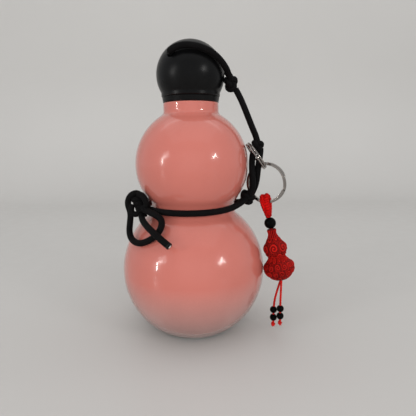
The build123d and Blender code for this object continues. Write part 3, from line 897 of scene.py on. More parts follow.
def glass_relief(angles, radius, height):
    """The thread, on the finish and nowhere else."""
    on_finish = abs(radius - FINISH_R) < TINY and ledge_z < height < mouth_z
    return glass_thread(angles, height) if on_finish else np.zeros(len(angles))


print("the thread stands out by", THREAD_H * 1000, "mm for", THREAD_TURNS, "turns")

# %% [markdown]
# The section runs from the middle of the base up the outside, over the lip and down the inside to
# the middle of the floor. Base edge, ledge and lip are eased as blown glass is, because a
# sharp edge would catch no light.

# %% Section of the glass
BASE_STEP = 0.002
LEDGE_EASE = 0.0003
EDGE_SHARES = [(-1, 0), (-0.3, 0.12), (0.4, 0.6)]


def glass_outside():
    """Base, side and ledge, and the finish up to its lip."""
    side, foot = gourd_side(0, (BASE_R, 0), NECK_R, NECK_FILLET_R)
    side = [point for point in side if point[1] > BASE_EDGE_R]
    rounded = [(BASE_R + out * BASE_EDGE_R, up * BASE_EDGE_R) for out, up in EDGE_SHARES]
    base = straight_points((0, 0), rounded[0], BASE_STEP)
    rim = [(NECK_R, ledge_z - LEDGE_EASE), (NECK_R - LEDGE_EASE, ledge_z)]
    finish_low = (FINISH_R, ledge_z + THREAD_STEP / 2)
    finish_run = straight_points(finish_low, (FINISH_R, mouth_z - LIP_R), THREAD_STEP)
    return base + rounded + side + straight_points(foot, rim[0]) + rim + [(FINISH_R, ledge_z)] + finish_run


def glass_inside():
    """The lip, the bore, the side and the floor."""
    lip_z = mouth_z - LIP_R
    lip = arc_points((FINISH_R - LIP_R, lip_z), (FINISH_R, lip_z), (FINISH_R - LIP_R, mouth_z))
    lip += arc_points((BORE_R + LIP_R, lip_z), (BORE_R + LIP_R, mouth_z), (BORE_R, lip_z))
    floor_edge = (sqrt((LOWER_R - GLASS_WALL) ** 2 - (lower_z - BASE_WALL) ** 2), BASE_WALL)
    side, foot = gourd_side(GLASS_WALL, floor_edge, BORE_R, SHOULDER_FILLET_R)
    bore = straight_points((BORE_R, lip_z), foot) + [foot]
    ground = straight_points(floor_edge, (0, BASE_WALL), BASE_STEP)[1:] + [(0, BASE_WALL)]
    return lip + bore + side[::-1] + ground


section = glass_outside() + glass_inside()
print("glass outline:", len(section), "points, top", round(mouth_z, 5))

# %% [markdown]
# Clear glass lets light through and bends it by its index. Nothing else is needed to make it look
# like glass, but blown glass is never flat: a broad, shallow ripple bends what is seen through it.

# %% Clear glass
GLASS_SIDES = 200


def clear_glass_finish():
    """Clear glass with a slight ripple."""
    material, tree, shader = finish("clear_glass", Base_Color=(0.98, 0.99, 0.985, 1),
                                    Transmission_Weight=1.0, IOR=1.47, Roughness=0.0)
    bumped(tree, shader, noise(tree, scale=28.0, detail=1.0), depth=0.0006, strength=0.25)
    return material


made = lathe_mesh(section, GLASS_SIDES, None, glass_relief)
bottle_glass = new_piece("bottle_glass", made, clear_glass_finish())
stand_for(bottle_glass, "bottle", "glass_bottle")
print("the glass has", len(bottle_glass.data.polygons), "faces")

# %% [markdown]
# The pink is a lacquer sprayed on the outside. It is solid over most of the bottle and thins out
# and pales towards the base, where the glass shows through. So it is a skin of its own, a hair
# outside the glass, whose alpha falls towards the base. The glass itself could be coloured by
# height instead, but a skin of its own leaves the glass under it clear. The spray's edge is not a
# ruled line: fine droplets thin out unevenly, which the noise in the mask gives.

# %% The lacquer
COAT_GAP = 0.00008
COAT_LOW_Z = 0.0015
COAT_TOP_LAP = 0.0004
THIN_Z = 0.002
FULL_Z = 0.046
THIN_COAT = 0.5
SPRAY_SWAY = 0.12


def coat_outline():
    """The lacquered stretch of the glass's outside, from near the base up to the cap's ledge."""
    low_r, neck_r = LOWER_R + COAT_GAP, NECK_R + COAT_GAP
    low_point = (sqrt(low_r**2 - lower_z**2), 0)
    side, foot = gourd_side(-COAT_GAP, low_point, neck_r, NECK_FILLET_R - COAT_GAP)
    side = [point for point in side if point[1] > COAT_LOW_Z]
    rim = [(neck_r, ledge_z), (FINISH_R + COAT_TOP_LAP, ledge_z + COAT_GAP)]
    return side + straight_points(foot, rim[0]) + rim


def lacquer_finish():
    """Pink lacquer under a clear gloss, thin and pale low down."""
    material, tree, shader = finish("pink_lacquer", Coat_Weight=0.7, Coat_Roughness=0.02, Coat_IOR=1.45,
                                    Specular_IOR_Level=0.25)
    place = add(tree, "ShaderNodeTexCoord")
    height = add(tree, "ShaderNodeSeparateXYZ", Vector=place.outputs["Object"]).outputs["Z"]
    level = ranged(tree, height, From_Min=THIN_Z, From_Max=FULL_Z, To_Min=THIN_COAT, To_Max=1.0)
    cloud = noise(tree, scale=35.0, detail=3.0)
    spray = noise(tree, scale=1400.0, detail=2.0)
    uneven = maths(tree, "MULTIPLY_ADD", spray, SPRAY_SWAY, -SPRAY_SWAY / 2)
    drift = maths(tree, "MULTIPLY_ADD", cloud, SPRAY_SWAY, -SPRAY_SWAY / 2)
    masked = maths(tree, "ADD", level, maths(tree, "ADD", uneven, drift), clamp=True)
    tree.links.new(masked, shader.inputs["Alpha"])
    tone = mixed(tree, cloud, (0.515, 0.147, 0.115, 1), (0.545, 0.162, 0.129, 1))
    misty = mixed(tree, level, (0.63, 0.6, 0.57, 1), tone)
    tree.links.new(misty, shader.inputs["Base Color"])
    grained(tree, shader, scale=500.0, low=0.16, high=0.24, depth=0.00001)
    return material


made = lathe_mesh(coat_outline(), GLASS_SIDES)
lacquer = new_piece("lacquer_coat", made, lacquer_finish())
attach(lacquer, "bottle")
print("the lacquer has", len(lacquer.data.polygons), "faces and starts", COAT_LOW_Z * 1000, "mm up")

# %% [markdown]
# The cap is a hollow ball moulded over a screw cup. Its collar stands just off the cup's lower
# band, which gives the fine dark groove round it. A sphere with a thickness added would be
# quicker, but outer and inner skins turned from outlines have the collar and the skirt as well.

# %% The cap's ball
RIM_GAP, BALL_R, BALL_RISE, BALL_WALL = 0.0003, 0.02275, 0.0178, 0.002
COLLAR_R, COLLAR_BEVEL, BAND_H = 0.0197, 0.0005, 0.0037
CUP_BORE_R, CUP_WALL, CUP_FIT = 0.0174, 0.0012, 0.00005
BEVEL_STEP, COLLAR_STEP, SKIRT_STEP = 0.0002, 0.0006, 0.0003
CAP_SIDES = 160
rim_z = ledge_z + RIM_GAP
band_z = rim_z + BAND_H
ball_z = rim_z + BALL_RISE


def ball_outline():
    """The ball's section outside, from its skirt up, and inside, from its top down."""
    skirt_r = CUP_BORE_R + CUP_WALL + CUP_FIT
    inner_r = BALL_R - BALL_WALL
    collar = (COLLAR_R, ball_z - sqrt(BALL_R**2 - COLLAR_R**2))
    skirt = (skirt_r, ball_z - sqrt(inner_r**2 - skirt_r**2))
    bevel_low, bevel_high = (COLLAR_R - COLLAR_BEVEL, band_z), (COLLAR_R, band_z + COLLAR_BEVEL)
    outside = straight_points((skirt_r, band_z), bevel_low, SKIRT_STEP)
    outside += straight_points(bevel_low, bevel_high, BEVEL_STEP)
    outside += straight_points(bevel_high, collar, COLLAR_STEP)
    outside += arc_points((0, ball_z), collar, (0, ball_z + BALL_R)) + [(0, ball_z + BALL_R)]
    inside = [(0, ball_z + inner_r)] + arc_points((0, ball_z), (0, ball_z + inner_r), skirt)[1:]
    inside += straight_points(skirt, (skirt_r, band_z)) + [outside[0]]
    return outside, inside


made = joined([lathe_mesh(outline, CAP_SIDES) for outline in ball_outline()])
ball = new_piece("ball_shell", made, CAP_BLACK)
print("the ball has", len(ball.data.polygons), "faces before its hole")

# %% [markdown]
# A hole runs right through the ball for the cord. It is cut with a boolean, as it is drilled or
# cored in the mould, so its rim follows the ball exactly. The two skins are first welded into one
# closed shape, because the boolean needs to know which side is inside.

# %% The cap's hole
HOLE_R, HOLE_RISE, HOLE_ANGLE = 0.003, 0.0114, 55.5
HOLE_SIDES = 64
WELD_REACH = 0.000001
SHARP_ANGLE = 35


def weld(piece):
    """Joins points that coincide, and turns every face outwards."""
    shape = bmesh.new()
    shape.from_mesh(piece.data)
    bmesh.ops.remove_doubles(shape, verts=shape.verts, dist=WELD_REACH)
    bmesh.ops.recalc_face_normals(shape, faces=shape.faces)
    shape.to_mesh(piece.data)
    shape.free()


def cut_hole(piece, place, along, radius):
    """Cuts a round hole right through a piece."""
    cutter_mesh = bpy.data.meshes.new("hole")
    shape = bmesh.new()
    bmesh.ops.create_cone(shape, cap_ends=True, segments=HOLE_SIDES, radius1=radius, radius2=radius,
                          depth=4 * BALL_R)
    shape.to_mesh(cutter_mesh)
    shape.free()
    cutter = bpy.data.objects.new("hole", cutter_mesh)
    cutter.matrix_world = placed(place, along)
    bpy.context.scene.collection.objects.link(cutter)
    modifier = piece.modifiers.new("hole", "BOOLEAN")
    modifier.object = cutter
    modifier.solver = "EXACT"
    bpy.context.view_layer.update()
    cut = bpy.data.meshes.new_from_object(piece.evaluated_get(bpy.context.evaluated_depsgraph_get()))
    piece.modifiers.clear()
    piece.data = cut
    bpy.data.objects.remove(cutter)
    print(piece.name, "now has", len(cut.polygons), "faces")


weld(ball)
hole_way = (cos(radians(HOLE_ANGLE)), sin(radians(HOLE_ANGLE)), 0)
cut_hole(ball, (0, 0, ball_z + HOLE_RISE), hole_way, HOLE_R)
ball.data.set_sharp_from_angle(angle=radians(SHARP_ANGLE))
stand_for(ball, "cap", "cap_ball")

# %% [markdown]
# Inside the ball sits the cup that screws on the glass. Its lower band shows under the ball's
# collar. Its thread is the glass's own, turned by half a turn and pushed inwards, so that the
# two run in each other's gaps; it is hidden as long as the cap is on, like the seal.

# %% Thread cup
BAND_R, BAND_RIM_R, BAND_BEVEL, CUP_TOP = 0.0193, 0.01875, 0.00035, 0.0015
SEAL_THICK, SEAL_GAP = 0.0015, 0.0001
CUP_PHASE = 0.5
CUP_THREAD_SHARE = 0.9
EASE = 0.0002
ceiling_z = mouth_z + SEAL_THICK + 2 * SEAL_GAP
cup_thread = thread_relief(-1, CUP_PHASE)


def cup_relief(angles, radius, height):
    """The thread, on the cup's bore and nowhere else."""
    on_bore = abs(radius - CUP_BORE_R) < TINY and rim_z < height < ceiling_z - TINY
    return cup_thread(angles, height) * CUP_THREAD_SHARE if on_bore else np.zeros(len(angles))


def cup_outline():
    """The cup's section: ceiling, bore, band and top."""
    outer = CUP_BORE_R + CUP_WALL
    top_z = ceiling_z + CUP_TOP
    ceiling = [(0, ceiling_z), (CUP_BORE_R - EASE, ceiling_z)]
    bore = straight_points((CUP_BORE_R, ceiling_z), (CUP_BORE_R, rim_z), THREAD_STEP) + [(CUP_BORE_R, rim_z)]
    band = [(BAND_RIM_R - EASE, rim_z), (BAND_RIM_R, rim_z + EASE), (BAND_R, band_z - BAND_BEVEL),
            (BAND_R - BAND_BEVEL, band_z)]
    return ceiling + bore + band + [(outer, band_z), (outer, top_z), (0, top_z)]


made = lathe_mesh(cup_outline(), CAP_SIDES, None, cup_relief)
cup = new_piece("thread_cup", made, CAP_BLACK)
cup.data.set_sharp_from_angle(angle=radians(SHARP_ANGLE))
stand_for(cup, "cap", "cap_thread_cup")
print("the cup has", len(cup.data.polygons), "faces")

# %% [markdown]
# Under the cup's ceiling a flat ring of soft silicone seals the mouth. Its outer edges are eased.
# The section is short enough to be written out as points.

# %% Seal
SEAL_R, SEAL_BORE_R = 0.0169, 0.0115
seal_low = mouth_z + SEAL_GAP
seal_high = seal_low + SEAL_THICK
seal_outline = [(SEAL_BORE_R, seal_low), (SEAL_R - EASE, seal_low), (SEAL_R, seal_low + EASE),
                (SEAL_R, seal_high - EASE), (SEAL_R - EASE, seal_high), (SEAL_BORE_R, seal_high),
                (SEAL_BORE_R, seal_low)]
seal = new_piece("seal_silicone", lathe_mesh(seal_outline, CAP_SIDES), SEAL_WHITE)
stand_for(seal, "cap", "cap_seal_ring")
print("the seal has", len(seal.data.polygons), "faces")

# %% [markdown]
# The two rings hang in each other: the small one on the cord, the large one in the small one.
# Their places could be read off the solid model, but they are worked out from their sizes, as
# they are there, so that the wires hang in each other with a hair of room between them.

# %% Places of the rings
COIL_GAP = 0.00045
SMALL_RING_R, SMALL_WIRE_W, SMALL_WIRE_T = 0.0105, 0.0016, 0.0011
LARGE_RING_R, LARGE_WIRE_W, LARGE_WIRE_T = 0.014, 0.002, 0.001
SMALL_RING_OUT, SMALL_RING_UP, SMALL_RING_FRONT, SMALL_RING_TILT = 0.0046, 0.0056, 0.009, 54.2
LARGE_RING_OUT, LARGE_RING_TURN, LINK_GAP = 0.0013, 28.0, 0.0003

small_wire_r = SMALL_RING_R - SMALL_WIRE_W / 2
small_thick = 2 * SMALL_WIRE_T + COIL_GAP
small_tilt = radians(SMALL_RING_TILT)
small_down = Vector((cos(small_tilt), 0, -sin(small_tilt)))
small_normal = Vector((sin(small_tilt), 0, cos(small_tilt)))
small_centre = Vector((UPPER_R + SMALL_RING_OUT, -SMALL_RING_FRONT, upper_z + SMALL_RING_UP))
small_low = small_centre + small_down * small_wire_r
large_wire_r = LARGE_RING_R - LARGE_WIRE_W / 2
small_sag = SMALL_WIRE_W / 2 * sin(small_tilt) + small_thick / 2 * cos(small_tilt)
large_top = small_low + Vector((LARGE_RING_OUT, 0, small_sag + LARGE_WIRE_W / 2 + LINK_GAP))
large_centre = large_top - Vector((0, 0, large_wire_r))
large_turn = radians(LARGE_RING_TURN)
large_side = Vector((cos(large_turn), -sin(large_turn), 0))
large_normal = Vector((sin(large_turn), cos(large_turn), 0))
print("large ring centre", [round(c, 4) for c in large_centre])

# %% [markdown]
# A split ring is one wire wound twice round, with a step where it passes from one turn to the
# other. A torus would have neither the step nor the gap. So a section, a flat bar with rounded
# edges, is carried along a two-turn line that shifts sideways in the step. Its ends are cut square.

# %% Split rings
STEP_ANGLE = 20.0
WIRE_BEVEL = 0.0003
WIRE_STEPS = 240
WIRE_SHARP_ANGLE = 50
WIRE_CORNERS = ((1, 1, 0), (-1, 1, 90), (-1, -1, 180), (1, -1, 270))
CORNER_POINTS, CORNER_STEP = 4, 30


def wire_section(width, thick):
    """A bar's section with rounded edges, as offsets along the radius and the axis."""
    corners = []
    for side_x, side_z, start in WIRE_CORNERS:
        for part in range(CORNER_POINTS):
            angle = radians(start + CORNER_STEP * part)
            corners.append((side_x * (width / 2 - WIRE_BEVEL) + WIRE_BEVEL * cos(angle),
                            side_z * (thick / 2 - WIRE_BEVEL) + WIRE_BEVEL * sin(angle)))
    return corners


def split_ring_mesh(outer_r, width, thick, turned):
    """Two turns of flat wire about Z with a step between them."""
    radius = outer_r - width / 2
    half = (thick + COIL_GAP) / 2
    section = wire_section(width, thick)
    points, rings = [], []
    for index in range(WIRE_STEPS + 1):
        degrees = STEP_ANGLE + (720 - 2 * STEP_ANGLE) * index / WIRE_STEPS
        share = min(1, max(0, (degrees - (360 - STEP_ANGLE)) / (2 * STEP_ANGLE)))
        height = -half * cos(pi * share)
        angle = radians(degrees)
        start = len(points)
        for out, up in section:
            reach = radius + out
            points.append(turned @ Vector((reach * cos(angle), reach * sin(angle), height + up)))
        rings.append(list(range(start, start + len(section))))
    faces = [face[::-1] for face in band_faces(rings)]
    return points, faces + [rings[0], rings[-1][::-1]], None


small_turned = placed(small_centre, small_normal, small_down)
large_turned = placed(large_centre, large_normal, large_side)
small_made = split_ring_mesh(SMALL_RING_R, SMALL_WIRE_W, SMALL_WIRE_T, small_turned)
large_made = split_ring_mesh(LARGE_RING_R, LARGE_WIRE_W, LARGE_WIRE_T, large_turned)
for size, made in (("small", small_made), ("large", large_made)):
    ring = new_piece(f"{size}_ring_wire", made, NICKEL)
    ring.data.set_sharp_from_angle(angle=radians(WIRE_SHARP_ANGLE))
    stand_for(ring, f"{size}_ring", f"{size}_split_ring")
    print(ring.name, "has", len(ring.data.polygons), "faces")

# %% [markdown]
# The charm hangs from the large ring and leans on the lower bulb. Its line is worked out from the
# same sizes as the rings: the pendant swings until its own bulb meets the glass.

# %% The charm's line
LEAN_GAP, BRAID_DROP, BRAID_TIP_R, LINE_GAP, BEAD_R = 0.0003, 0.0094, 0.0011, 0.0004, 0.004
PENDANT_H, PENDANT_GAP, PENDANT_LOWER_R, LOWER_BULB_SHARE = 0.0354, 0.00015, 0.0104, 0.715
charm_pivot = large_centre - Vector((0, 0, large_wire_r))
bead_drop = BRAID_DROP + BRAID_TIP_R + LINE_GAP + BEAD_R
pendant_drop = bead_drop + BEAD_R + PENDANT_GAP
pendant_end = pendant_drop + PENDANT_H
lean_drop = pendant_drop + LOWER_BULB_SHARE * PENDANT_H
from_bulb = charm_pivot - Vector((0, 0, lower_z))
touch = LOWER_R + PENDANT_LOWER_R + LEAN_GAP
lean_need = (touch**2 - from_bulb.length**2 - lean_drop**2) / (2 * lean_drop)
lean_reach = hypot(from_bulb.dot(large_side), from_bulb.z)
charm_lean = asin(lean_need / lean_reach) + atan2(from_bulb.z, from_bulb.dot(large_side))
charm_down = large_side * sin(charm_lean) - Vector((0, 0, cos(charm_lean)))
charm_across = large_side * cos(charm_lean) + Vector((0, 0, sin(charm_lean)))
tassel_pivot = charm_pivot + charm_down * pendant_end


def on_charm(drop):
    """The frame of a place on the charm's line: X across the braid, Z back up the line."""
    return placed(charm_pivot + charm_down * drop, -charm_down, charm_across)


print("the charm leans by", round(charm_lean * 180 / pi, 1), "degrees")

# %% [markdown]
# The red loop over the ring is a flat plait of three fat strands. Each strand swings from side to
# side while it dips twice as often, a third of a beat behind the next. Strands could be drawn one
# by one, but those two waves alone weave them. The swing is widest over the ring and narrows
# towards the bead.

# %% Lines of the plait
PLAIT_PITCH = 0.0052
PLAIT_TOP_SWING = 0.0021
PLAIT_END_SWING = 0.0003
SWING_ROUNDING = 0.8
PLAIT_DIP = 0.001
PLAIT_STEP = 0.0002
LOOP_REACH, LOOP_TOP = 0.0024, 0.0034
LOOP_END, LOOP_LOW, LOOP_HIGH, LOOP_SHOULDER = (0.28, 0.5), (0.55, 0.66), (0.9, 0.3), (0.72, 0.8)
LOOP_PEAK = 1.15


def loop_line():
    """The middle of the folded plait: down one side of the wire, over it and down the other."""
    half = [(0, LOOP_REACH * LOOP_END[0], -BRAID_DROP - BRAID_TIP_R * LOOP_END[1]),
            (0, LOOP_REACH * LOOP_LOW[0], -BRAID_DROP * LOOP_LOW[1]),
            (0, LOOP_REACH * LOOP_HIGH[0], -BRAID_DROP * LOOP_HIGH[1]), (0, LOOP_REACH, 0),
            (0, LOOP_REACH * LOOP_SHOULDER[0], LOOP_TOP * LOOP_SHOULDER[1])]
    route = half + [(0, 0, LOOP_TOP * LOOP_PEAK)] + [(x, -y, z) for x, y, z in half[::-1]]
    return even_line(route_line(route), PLAIT_STEP)


def plait_strand(line, phase):
    """One strand's own line about the plait's middle."""
    run = run_along(line)
    share = run / run[-1]
    beat = 2 * pi * run / PLAIT_PITCH + phase
    swing = PLAIT_END_SWING + (PLAIT_TOP_SWING - PLAIT_END_SWING) * np.sin(pi * share) ** SWING_ROUNDING
    outward = np.cross(directions(line), np.array([1.0, 0, 0]))
    dip = outward * (PLAIT_DIP * np.sin(2 * beat))[:, None]
    return line + np.outer(swing * np.sin(beat), [1, 0, 0]) + dip


middle = loop_line()
print("the plait's middle is", round(run_along(middle)[-1], 4), "m long")

# %% [markdown]
# Each strand is itself twisted from three plies. The relief of a twist is a row of humps that
# winds round the strand, so the same tube as the black braid's can carry it.

# %% Plaited loop
PLAIT_STRANDS = 3
PLAIT_STRAND_R = 0.00115
PLAIT_DEPTH = 0.0005
PLAIT_SIDES = 24
TWIST_ROUNDING = 0.6


def twisted(angle, run, plies=3, lay=0.0028):
    """How high a twisted strand stands: plies side by side, winding round."""
    return np.abs(np.sin(plies * (angle + 2 * pi * run / lay) / 2)) ** TWIST_ROUNDING


turned = np.array(on_charm(0))
strands = []
for number in range(PLAIT_STRANDS):
    strand = plait_strand(middle, 2 * pi * number / PLAIT_STRANDS)
    strand = even_line(strand @ turned[:3, :3].T + turned[:3, 3], PLAIT_STEP)
    strands.append(tube_mesh(strand, PLAIT_STRAND_R, PLAIT_SIDES, twisted, PLAIT_DEPTH))
plait = new_piece("plaited_loop", joined(strands), RED_PLAIT, keep_relief=True)
stand_for(plait, "charm_loop", "charm_braid")
print("the plait has", len(plait.data.polygons), "faces")

# %% [markdown]
# A doubled string runs from the plait through the bead and the pendant to the tassel. The beads
# are black and bored through. A sphere from the menu would do for the outside, but with the bore
# in the outline the hole has a real edge.

# %% String and bead
LINE_R = 0.0009
LINE_SIDES = 20
LINE_DEPTH = 0.0002
LINE_POINTS = 140
LINE_SHORT = 0.0024
BEAD_BORE_R = 0.0012
BEAD_SIDES = 64


def bead_outline(radius, bore_r):
    """A round bead with a bore."""
    half = radius * cos(asin(bore_r / radius))
    outside = arc_points((0, 0), (bore_r, -half), (radius, 0))
    outside += arc_points((0, 0), (radius, 0), (bore_r, half))
    return outside + straight_points((bore_r, half), (bore_r, -half)) + [(bore_r, -half)]


def fine_bead(name, place, radius, bore_r, body, node):
    """A polished black bead with its bore along its own Z."""
    made = lathe_mesh(bead_outline(radius, bore_r), BEAD_SIDES, place)
    return stand_for(new_piece(name, made, BEAD_BLACK), body, node)


fine_bead("round_bead", on_charm(bead_drop), BEAD_R, BEAD_BORE_R, "bead", "charm_bead")
drops = np.linspace(BRAID_DROP, pendant_end - LINE_SHORT, LINE_POINTS)
core = np.array([charm_pivot + charm_down * drop for drop in drops])
made = tube_mesh(core, LINE_R, LINE_SIDES, twisted, LINE_DEPTH)
doubled = new_piece("doubled_string", made, RED_STRING, keep_relief=True)
stand_for(doubled, "charm", "charm_line")
print("the doubled string is", round(run_along(core)[-1], 4), "m long")

# %% [markdown]
# The pendant is a small gourd moulded to look like carved red lacquer. Its outline is given as a
# radius at each of a few shares of its height. A smooth curve goes through them, so that the neck,
# the bulbs and the waist flow into each other.

# %% Outline of the pendant
PENDANT_LIP_R, PENDANT_NECK_R, PENDANT_UPPER_R, PENDANT_WAIST_R = 0.0033, 0.0028, 0.008, 0.006
PENDANT_FOOT_R, PENDANT_BORE_R = 0.0052, 0.0013
SHOULDER_R_SHARE, BULB_FOOT_R_SHARE, LOWER_FOOT_R_SHARE = 0.58, 0.9, 0.86
UPPER_BULB_SHARE = 0.36
CARVE_ROWS = 330
PENDANT_DROP_SHARES = (0, 0.1, 0.2, UPPER_BULB_SHARE, 0.48, 0.54, LOWER_BULB_SHARE, 0.9, 1)
PENDANT_RADII = (PENDANT_LIP_R, PENDANT_NECK_R, PENDANT_UPPER_R * SHOULDER_R_SHARE, PENDANT_UPPER_R,
                 PENDANT_UPPER_R * BULB_FOOT_R_SHARE, PENDANT_WAIST_R, PENDANT_LOWER_R,
                 PENDANT_LOWER_R * LOWER_FOOT_R_SHARE, PENDANT_FOOT_R)


def through_points(values, shares, wanted):
    """A smooth curve through values at shares of a run, read at the wanted shares."""
    slopes = np.gradient(values, shares)
    out = []
    for share in wanted:
        k = min(max(int(np.searchsorted(shares, share) - 1), 0), len(shares) - 2)
        width = shares[k + 1] - shares[k]
        t = (share - shares[k]) / width
        out.append((2 * t**3 - 3 * t**2 + 1) * values[k] + (t**3 - 2 * t**2 + t) * width * slopes[k]
                   + (3 * t**2 - 2 * t**3) * values[k + 1] + (t**3 - t**2) * width * slopes[k + 1])
    return np.array(out)


row_shares = np.linspace(0, 1, CARVE_ROWS)
row_radii = through_points(np.array(PENDANT_RADII), np.array(PENDANT_DROP_SHARES), row_shares)
print("the pendant is at most", round(2000 * row_radii.max(), 2), "mm wide")

# %% [markdown]
# The carving is a ribbed neck, curls on the upper bulb and a close all-over scroll on the lower
# one. Fine carving only looks carved when its edges catch the light, so each point of a dense skin
# is pushed in or out. Curls are spirals set in staggered rows, and each turns the other way from
# its neighbours.

# %% Carving
NECK_SHARE, WAIST_SHARE = 0.17, 0.53
NECK_RIBS = 14
UPPER_CURLS, UPPER_ROW_H, UPPER_GROOVE = 7, 0.0072, 0.0021
LOWER_CURLS, LOWER_ROW_H, LOWER_GROOVE, LOWER_TURN = 14, 0.0047, 0.00135, 0.03
CURL_R_SHARE, CURL_RIM_SHARE, CURL_WIDTH, CURL_ROUNDING = 0.52, 0.08, 1.1, 0.7
BETWEEN_CURLS, BETWEEN_SWAY, BETWEEN_BEATS = 0.35, 0.25, 60
BAND_SHARE, BAND_GROOVE, END_SHARE = 0.012, 0.4, 0.03


def curls(around, up, columns, row_height, groove):
    """Spirals in staggered rows; around is in turns and up in metres from the first row's middle."""
    row = np.floor(up / row_height + 0.5)
    shifted = around * columns + 0.5 * (row % 2)
    column = np.floor(shifted)
    dx = (shifted - column - 0.5) * row_height * CURL_WIDTH
    dy = up - row * row_height
    reach = np.hypot(dx, dy)
    way = np.where((row + column) % 2 < 1, 1, -1)
    spiral = 0.5 + 0.5 * np.cos(2 * pi * reach / groove - way * np.arctan2(dy, dx))
    curl_r = CURL_R_SHARE * row_height
    rim = np.clip((curl_r - reach) / (CURL_RIM_SHARE * row_height), 0, 1)
    between = BETWEEN_CURLS + BETWEEN_SWAY * np.cos(BETWEEN_BEATS * around * pi)
    return np.where(reach < curl_r, spiral**CURL_ROUNDING * rim, between)


def carving(angle, share):
    """How high the carving stands at an angle and a share of the drop."""
    around = angle / (2 * pi)
    up = share * PENDANT_H
    neck = 0.5 + 0.5 * np.cos(NECK_RIBS * angle)
    upper = curls(around, up - UPPER_BULB_SHARE * PENDANT_H, UPPER_CURLS, UPPER_ROW_H, UPPER_GROOVE)
    lower = curls(around + LOWER_TURN, up - LOWER_BULB_SHARE * PENDANT_H, LOWER_CURLS, LOWER_ROW_H,
                  LOWER_GROOVE)
    height = np.where(share < NECK_SHARE, neck, np.where(share < WAIST_SHARE, upper, lower))
    band = np.minimum(np.abs(share - NECK_SHARE), np.abs(share - WAIST_SHARE)) / BAND_SHARE
    edge = np.clip(np.minimum(share, 1 - share) / END_SHARE, 0, 1)
    return (height * np.clip(band - BAND_GROOVE, 0, 1) + np.clip(1 - band, 0, 1)) * edge


print("curls round the pendant:", UPPER_CURLS, "above and", LOWER_CURLS, "below")

# %% [markdown]
# Each row of the skin is one turn of points, and the last row is joined back to the first through
# the bore. The height of the carving goes along as relief, so the finish can paint shade into the grooves.

# %% Carved gourd
CARVE_DEPTH = 0.0007
CARVE_SIDES = 360
CARVE_LEVEL = 0.7
BORE_RELIEF = 0.4


def gourd_mesh():
    """The pendant's carved skin, closed through its bore."""
    angles = np.linspace(0, 2 * pi, CARVE_SIDES, endpoint=False)
    turned = on_charm(pendant_drop)
    bore, flat = np.full(CARVE_SIDES, PENDANT_BORE_R), np.full(CARVE_SIDES, BORE_RELIEF)
    rows = [(bore, 0, flat)]
    for share, reach in zip(row_shares, row_radii):
        height = carving(angles, np.full(CARVE_SIDES, share))
        rows.append((reach + CARVE_DEPTH * (height - CARVE_LEVEL), -share * PENDANT_H, height))
    rows.append((bore, -PENDANT_H, flat))
    points, rings, values = [], [], []
    for reach, height, value in rows:
        start = len(points)
        for x, y in zip(reach * np.cos(angles), reach * np.sin(angles)):
            points.append(turned @ Vector((x, y, height)))
        values.extend(value)
        rings.append(list(range(start, start + CARVE_SIDES)))
    return points, [face[::-1] for face in band_faces(rings, closed=True)], values


gourd = new_piece("carved_gourd", gourd_mesh(), CARVED_RED, keep_relief=True)
stand_for(gourd, "pendant", "gourd_pendant")
print("carved gourd:", len(gourd.data.polygons), "faces")

# %% [markdown]
# Two thin red strings leave the pendant, and each ends in a knot that has frayed. The knot is two
# turns of the string with a brush of hair-thin fibres under it. Hair could grow the brush, but
# tubes export as they are, and a seeded dice lays the same fibres each time.

# %% Frayed knots
STRING_R = 0.00065
END_KNOT_R, END_KNOT_TURNS, END_KNOT_TOP, END_KNOT_H = 0.0008, 1.9, 0.0003, 0.0017
END_KNOT_CORD_SHARE, END_KNOT_TUCK = 0.95, 0.12
END_KNOT_POINTS, END_KNOT_STEP, END_KNOT_SIDES, END_KNOT_DEPTH = 80, 0.00015, 16, 0.0002
FRAY_FIBRES, FRAY_R, FRAY_SIDES, FRAY_POINTS = 18, 0.00009, 5, 7
FRAY_TOP, FRAY_START_R = 0.0019, 0.0004
FRAY_SPREADS, FRAY_LENGTHS, FRAY_BENDS = (0.0002, 0.0014), (0.0005, 0.0014), (-0.7, 0.7)


def frayed_fibre(dice):
    """A curved fibre under the knot."""
    angle, spread = dice.uniform(0, 2 * pi), dice.uniform(*FRAY_SPREADS)
    length, bend = dice.uniform(*FRAY_LENGTHS), dice.uniform(*FRAY_BENDS)
    start = np.array([FRAY_START_R * cos(angle), FRAY_START_R * sin(angle), -FRAY_TOP])
    end = start + np.array([spread * cos(angle + bend), spread * sin(angle + bend), -length])
    control = start + np.array([0.0, 0.0, -length * 0.5])
    t = np.linspace(0, 1, FRAY_POINTS)[:, None]
    return (1 - t) ** 2 * start + 2 * t * (1 - t) * control + t**2 * end


def end_knot(place, dice):
    """A small knot of two turns with a short frayed brush under it."""
    coil = []
    for share in np.linspace(0, 1, END_KNOT_POINTS):
        angle = 2 * pi * END_KNOT_TURNS * share
        reach = END_KNOT_R * min(1, share / END_KNOT_TUCK, (1 - share) / END_KNOT_TUCK)
        coil.append((reach * cos(angle), reach * sin(angle), -END_KNOT_TOP - END_KNOT_H * share))
    line = even_line(np.array(coil) + np.array(place), END_KNOT_STEP)
    parts = [tube_mesh(line, STRING_R * END_KNOT_CORD_SHARE, END_KNOT_SIDES, twisted, END_KNOT_DEPTH)]
    for _ in range(FRAY_FIBRES):
        parts.append(tube_mesh(frayed_fibre(dice) + np.array(place), FRAY_R, FRAY_SIDES))
    return joined(parts)


print("each end knot frays into", FRAY_FIBRES, "fibres")

# %% [markdown]
# Each string carries two small black beads, whose weight draws it straight. The places of the
# beads and knots are measured from the pendant's end: to the side, to the front and down.

